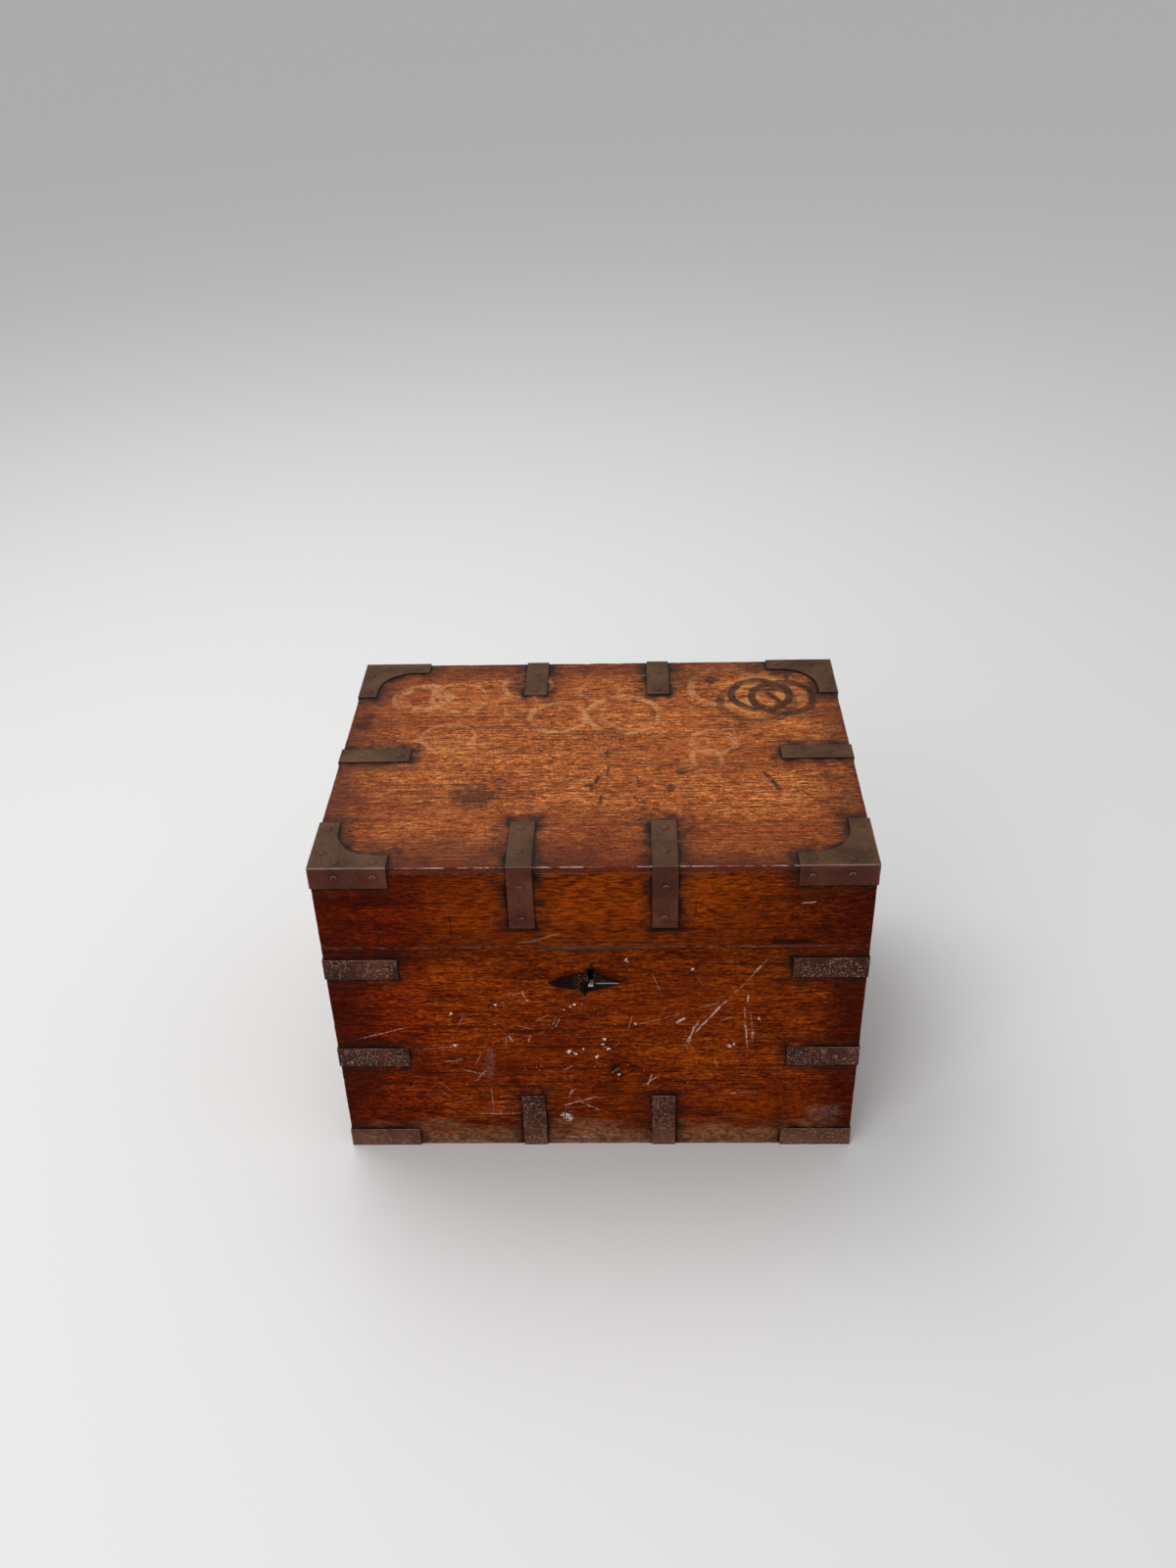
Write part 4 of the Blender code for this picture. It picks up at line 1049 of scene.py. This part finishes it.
def forged(node, seed, faces, cell=FORGE_CELL, edge=SHEARED_EDGE):
    """Works a plain iron node over: edges rounded, faces divided finely and waved by the hammer."""
    piece = copied(node, "_forged")
    low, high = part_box(node)
    bpy.ops.object.mode_set(mode="EDIT")
    bpy.ops.mesh.select_all(action="DESELECT")
    bpy.ops.mesh.edges_select_sharp(sharpness=SHARP)
    bpy.ops.mesh.bevel(offset=edge, segments=2, affect="EDGES", clamp_overlap=True)
    for axis in range(3):
        across = [float(n == axis) for n in range(3)]
        for place in np.arange(low[axis] + cell / 2, high[axis], cell):
            bpy.ops.mesh.select_all(action="SELECT")
            bpy.ops.mesh.bisect(plane_co=[a * place for a in across], plane_no=across)
    bpy.ops.object.mode_set(mode="OBJECT")
    points = points_of(piece)
    gaps = [np.ones(len(points)), np.ones(len(points))]
    low, high = iron_box(node)
    for face in faces:
        out = outward(face)
        plane = out.dot(high if sum(out) > 0 else low)
        gaps.append(np.abs(points @ np.array(out) - plane))
    # bend: the band along each outer bend, which the finish paints pale as rubbed wear and a painted
    # highlight.
    bend = 1 - np.sort(gaps, axis=0)[1] / BEND_REACH
    # upward: faces that look up, which the finish paints in a lighter tone as lit from above.
    up = np.array([vertex.normal.z for vertex in piece.data.vertices])
    note(piece, bend=np.clip(bend, 0, 1), upward=up > LOOKS_UP)
    hammered(piece, seed)
    bpy.ops.object.shade_smooth_by_angle(angle=ROUNDED)
    return piece


PIT_BLACK = colour(26, 14, 10)
RUST_AND_GLINT_FLECK = colour(176, 132, 108)
RUBBED_HIGHLIGHT_IRON = colour(164, 142, 138)


def strap_iron(name, upper, lower, flecks, marks=None, shine=0.12):
    """Old strap iron: brown oxide in clouds, dark in the pits, with pale flecks where rough, of rust and
    of painted glints.
    """
    finish, shader, place = new_finish(name)
    cloud = grained(place, (26, 26, 26), 4, 0.5)
    grit = grained(place, (620, 620, 620), 2)
    patch = grained(place, (34, 34, 34), 3)
    pits = grained(place, (260, 260, 260), 2).rise(0.58, 0.68)
    # Pale flecks where rough: partly rust, partly painted glints off the pitted bumps.
    fleck = grit.rise(0.57, 0.64) * patch.rise(0.64 - flecks * 0.26, 0.74 - flecks * 0.26) * flecks
    tone = cloud * 0.6 + grit * 0.25 + 0.075
    # Faces that look up take the upper tones, painted lighter as lit from above.
    metal = noted(place, "upward").blend(tone.ramp(lower), tone.ramp(upper))
    metal = (pits * (0.12 + flecks * 0.3)).blend(metal, PIT_BLACK)
    metal = (fleck * 0.72).blend(metal, RUST_AND_GLINT_FLECK)
    # Pale along the bends for rubbed wear and a painted highlight; on nail heads the same mark is a
    # painted highlight.
    rub = noted(place, "bend").rise(0.25, 0.8) * (0.65 + patch.rise(0.42, 0.56) * 0.35)
    metal = (rub * 0.6).blend(metal, RUBBED_HIGHLIGHT_IRON)
    metal = (noted(place, "grime") * 0.55).blend(metal, DIRT_AND_SHADE)
    if marks:
        metal = marks(place, metal)
    height = grit * (0.3 + flecks * 0.7) - pits * 0.8 + patch * 0.5
    bump = place.node("ShaderNodeBump", None, {"Height": height, "Strength": 0.4, "Distance": 0.0005})
    rough = 0.42 + cloud * 0.16 + pits * 0.12
    feed(shader, Base_Color=metal, Roughness=rough, Metallic=0.15, Specular_IOR_Level=shine, Normal=bump)
    return finish


# Iron tones for faces that look up and for the rest: the lid's top painted as lit from above, its sides
# painted darker and warmer as shaded and lit by warm reflected light, and the body's upward ledges
# painted pale as lit from above.
TOP_LIT_IRON = three_tones((62, 40, 25), (77, 51, 33), (90, 62, 42))
SHADED_SIDE_IRON = three_tones((62, 29, 18), (80, 39, 26), (96, 52, 37))
PITTED_IRON = three_tones((47, 21, 14), (63, 29, 20), (80, 40, 29))
LIT_LEDGE_IRON = three_tones((96, 64, 54), (122, 88, 78), (146, 112, 102))
FLOOR_DUST = colour(160, 112, 84)


def dusty(place, metal):
    """Iron near the floor, pale with the dust that the scuffs leave."""
    foot = (part_of(place, "Z") + grained(place, (40, 40, 40), 4) * 0.05).rise(0.070, 0.025)
    return (foot * 0.3).blend(metal, FLOOR_DUST)


lid_iron = strap_iron("lid_strap_iron", TOP_LIT_IRON, SHADED_SIDE_IRON, flecks=0.10)
body_iron = strap_iron("body_strap_iron", LIT_LEDGE_IRON, PITTED_IRON, flecks=0.9, marks=dusty)
bound = {}
for seed, node in enumerate(sorted(frame["nodes"])):
    kind = next((k for k in STRAP_FACES if node.startswith(k)), None)
    if kind is None:
        continue
    words = node.split("_")
    stand = {"side": words[-1], "end": words[-2]}
    bound[node] = [stand.get(face, face) for face in STRAP_FACES[kind]]
    on_lid = node.startswith("lid")
    piece = forged(node, seed, bound[node])
    finish, body = (lid_iron, "lid") if on_lid else (body_iron, "chest")
    set_on(piece, finish, body, "strap_iron", node)

# The hinges: two strap hinges of the same iron, their leaves bent over the lid's back edge and down the
# back board, each turning on a riveted pin.
HINGE_EDGE = 0.0002
HINGE_SEED = 40


def give_finish(node, finish):
    """Gives its finish to a plain node that shows as it is."""
    frame["nodes"][node].material_slots[0].material = finish


for seed, node in enumerate(n for n in sorted(frame["nodes"]) if n.startswith("hinge_")):
    if "pin" in node:
        give_finish(node, lid_iron)
        continue
    on_lid = "lid" in node
    bound[node] = ["top", "back"] if on_lid else ["back"]
    piece = forged(node, seed + HINGE_SEED, bound[node], edge=HINGE_EDGE)
    set_on(piece, lid_iron, "lid" if on_lid else "chest", "strap_iron", node)

# The nails: hand-forged, with low round heads, driven through every strap two to a leg, each with a dark
# ring of dirt and painted shade round its rim, and a painted highlight on the upper crown of those that
# face sideways.
NAIL_RADIUS = 0.0045
NAIL_RIM = 0.0004
NAIL_CROWN = 0.0008
NAIL_NEAR = 0.0255
NAIL_FAR = 0.0645
NAIL_DRIFT = 0.0012
NAIL_SIDES = 14
NAIL_STEPS = ((0.22, 0.45), (0.30, 0.38), (0.26, 0.17))
TOP_GRIME_AND_SHADE = 0.4
NAIL_GLINT = 0.46
GLINT_BAND = (0.4, 0.85)
GRIME_AND_SHADE_START = 0.9
NAIL_ROUND = math.radians(60)
LEVEL = 0.9
draw = random.Random(11)


def pick_faces(piece, wanted):
    """Leaves edit mode open on a piece, with only the wanted faces selected."""
    bpy.ops.object.mode_set(mode="EDIT")
    bpy.ops.mesh.select_all(action="DESELECT")
    bpy.ops.object.mode_set(mode="OBJECT")
    for part in piece.data.polygons:
        part.select = wanted(part)
    bpy.ops.object.mode_set(mode="EDIT")
    bpy.ops.mesh.select_mode(type="FACE")


bpy.ops.mesh.primitive_cylinder_add(vertices=NAIL_SIDES, radius=NAIL_RADIUS, depth=2 * NAIL_RIM)
nail = bpy.context.object
pick_faces(nail, lambda part: part.normal.z > LEVEL)
for step, rise in NAIL_STEPS:
    bpy.ops.mesh.inset(thickness=NAIL_RADIUS * step)
    bpy.ops.transform.translate(value=(0, 0, NAIL_CROWN * rise))
bpy.ops.mesh.select_mode(type="VERT")
bpy.ops.object.mode_set(mode="OBJECT")
bpy.ops.object.shade_smooth_by_angle(angle=NAIL_ROUND)
nail_reach = np.hypot(*points_of(nail).T[:2]) / NAIL_RADIUS
# Each head's rim is darkened for dirt and for painted shade in the gap round it, less on heads that face
# up.
nail_grime_and_shade = nail_reach > GRIME_AND_SHADE_START
nail_glint = (nail_reach > GLINT_BAND[0]) & (nail_reach < GLINT_BAND[1])


def nail_spots(node, faces):
    """Where the nails go in one iron: near and far from the bend on each leg, midway across it."""
    low, high = iron_box(node)
    for face in faces:
        if face == "bottom":
            continue
        out = outward(face)
        middle = (low + high) / 2
        for n in range(3):
            if out[n]:
                middle[n] = high[n] if out[n] > 0 else low[n]
        legs = [outward(other) for other in faces if other != face] or [Vector((0, 0, 1))]
        if len(legs) == 2 and face != "top":
            legs = [leg for leg in legs if not leg.z]
        for leg in legs:
            axis = max(range(3), key=lambda n: abs(leg[n]))
            bend = high[axis] if leg[axis] > 0 else low[axis]
            for reach in (NAIL_NEAR, NAIL_FAR):
                place = middle.copy()
                place[axis] = bend - leg[axis] * reach
                if len(faces) == 3 and face == "top":
                    other = 1 - axis
                    rim = max((low[other], high[other]), key=abs)
                    place[other] = rim - math.copysign(ARM_WIDTH / 2, rim)
                yield place, out


for body, finish in (("chest", body_iron), ("lid", lid_iron)):
    heads = []
    for node, faces in bound.items():
        if frame["nodes"][node]["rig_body"] != body:
            continue
        for place, out in nail_spots(node, faces):
            drift = Vector([draw.uniform(-NAIL_DRIFT, NAIL_DRIFT) * (not part) for part in out])
            head = nail.copy()
            head.data = nail.data.copy()
            lie = out.to_track_quat("Z", "Y").to_matrix().to_4x4()
            spin = Matrix.Rotation(draw.uniform(0, math.tau), 4, "Z")
            head.data.transform(Matrix.Translation(place + drift) @ lie @ spin)
            # A painted highlight on the upper half of the crown of heads that face sideways, carried in
            # the bend mark.
            glint = nail_glint & (points_of(head)[:, 2] > place.z) & (out.z == 0)
            upward = np.full(len(nail_reach), out.z > 0)
            grime = nail_grime_and_shade * (TOP_GRIME_AND_SHADE if out.z > 0 else 1)
            note(head, grime=grime, bend=glint * NAIL_GLINT, upward=upward)
            scene.collection.objects.link(head)
            heads.append(head)
    alone(heads[0])
    for head in heads:
        head.select_set(True)
    bpy.ops.object.join()
    row = bpy.context.object
    row.name = body + "_nails"
    row.data.materials.append(finish)
    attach(row, body)
bpy.data.objects.remove(nail)

# The keyhole plate: thin black iron, filed to a long lens with a small finial and tail, with a painted
# highlight along its right-hand ridge.
BLACK_IRON = three_tones((12, 5, 3), (22, 10, 7), (36, 19, 14))
RIDGE_HIGHLIGHT = colour(176, 158, 150)
RIDGE_DROP = 0.0165
RIDGE_START = 0.003
RIDGE_HALF = 0.0011
RIDGE_STRENGTH = 0.7
PLATE_CELL = 0.003
PLATE_SEED = 70
plate_low, plate_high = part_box("escutcheon")


def ridge_highlight(place, metal):
    """A painted highlight in a line from the keyhole to the plate's right-hand point."""
    height = (keyhole.z - RIDGE_DROP) / MM
    start, end = (keyhole.x + RIDGE_START) / MM, plate_high.x / MM
    highlight_line = stroke(place, start, height, end, height, RIDGE_HALF / MM, RIDGE_STRENGTH)
    return highlight_line.blend(metal, RIDGE_HIGHLIGHT)


black_iron = strap_iron(
    "keyhole_plate_iron", BLACK_IRON, BLACK_IRON, flecks=0.45, marks=ridge_highlight, shine=0.03
)
escutcheon = forged("escutcheon", PLATE_SEED, faces=[], cell=PLATE_CELL)
set_on(escutcheon, black_iron, "chest", "lock_iron", "escutcheon")

# The keyhole's sill: a strip of steel bent into the bottom of the slot and turned down over the plate,
# polished by the key.
SILL_WIDTH = 0.0052
SILL_SHEET = 0.0009
SILL_LIP = 0.0016
SILL_EDGE = 0.0002
SILL_STEEL = three_tones((150, 142, 134), (186, 178, 170), (206, 200, 194))
case_low, case_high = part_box("lock_case")
sill_top = keyhole.z - KEYHOLE_SLOT[1] + 2 * SILL_SHEET
sill_front = plate_low.y - SILL_SHEET / 2
sill_back = case_low.y + LOCK_FRONT_WOOD + SILL_SHEET
bpy.ops.mesh.primitive_cube_add(
    size=1,
    location=(keyhole.x, (sill_front + sill_back) / 2, sill_top - SILL_SHEET / 2),
    scale=(SILL_WIDTH, sill_back - sill_front, SILL_SHEET),
)
sill = bpy.context.object
sill.name = "keyhole_sill"
bpy.ops.object.transform_apply(location=True, rotation=True, scale=True)
bpy.ops.object.mode_set(mode="EDIT")
bpy.ops.mesh.select_all(action="SELECT")
lip_back = sill_front + SILL_SHEET
bpy.ops.mesh.bisect(plane_co=(0, lip_back, 0), plane_no=(0, 1, 0))
pick_faces(sill, lambda part: part.normal.z < -LEVEL and part.center.y < lip_back)
bpy.ops.mesh.extrude_region_move(TRANSFORM_OT_translate={"value": (0, 0, -SILL_LIP)})
bpy.ops.mesh.select_all(action="SELECT")
bpy.ops.mesh.bevel(offset=SILL_EDGE, segments=2, affect="EDGES")
bpy.ops.mesh.select_mode(type="VERT")
bpy.ops.object.mode_set(mode="OBJECT")
bpy.ops.object.shade_smooth_by_angle(angle=ROUNDED)
bright_steel = strap_iron("key_worn_steel", SILL_STEEL, SILL_STEEL, flecks=0)
sill.data.materials.append(bright_steel)
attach(sill, "chest")

# The lock: an iron case let into the front board, its cover plate and screws, the sliding bolt with its
# leaf spring, and the plate with two staples in the lid that the bolt catches.
RIM_RUB = 0.0024
RIM_RUB_HIGHLIGHT = colour(118, 84, 74)
LOCK_TONES = three_tones((44, 28, 22), (62, 43, 35), (82, 61, 51))
SPRING_TONES = three_tones((66, 66, 70), (92, 92, 96), (116, 116, 118))


def rubbed_highlit_rim(place, metal):
    """The selvedge's top, rubbed pale where the lid comes down on it and given a painted highlight."""
    rub = part_of(place, "Z").rise(case_high.z - RIM_RUB, case_high.z)
    return (rub * 0.35).blend(metal, RIM_RUB_HIGHLIGHT)


lock_iron = strap_iron("lock_iron_finish", LOCK_TONES, LOCK_TONES, flecks=0.2)
selvedge_iron = strap_iron("selvedge_iron_finish", LOCK_TONES, LOCK_TONES, flecks=0.2, marks=rubbed_highlit_rim)
spring_steel = strap_iron("spring_steel_finish", SPRING_TONES, SPRING_TONES, flecks=0)
give_finish("lock_case", selvedge_iron)
give_finish("drill_pin", bright_steel)
give_finish("bolt_spring", spring_steel)
for node in frame["nodes"]:
    if node in ("lock_cover", "lock_bolt", "link_plate") or node.startswith("cover_screw"):
        give_finish(node, lock_iron)

# The handles: a plate with two ears on each side board, and a round drop bail, drawn down and bent on
# the anvil, that hangs in them.
EAR_PLATE_SEED = 80
BAIL_SEED = 90
for seed, side in enumerate(("left", "right")):
    plate = forged("handle_plate_" + side, seed + EAR_PLATE_SEED, faces=[])
    set_on(plate, body_iron, "chest", "handle_iron", "handle_plate_" + side)
    bail = copied("handle_bail_" + side, "_forged")
    rounding = bail.modifiers.new("rounding", "SUBSURF")
    rounding.levels = 2
    bpy.ops.object.modifier_apply(modifier=rounding.name)
    hammered(bail, seed + BAIL_SEED)
    bpy.ops.object.shade_smooth()
    set_on(bail, lock_iron, "handle_" + side, "handle_iron", "handle_bail_" + side)
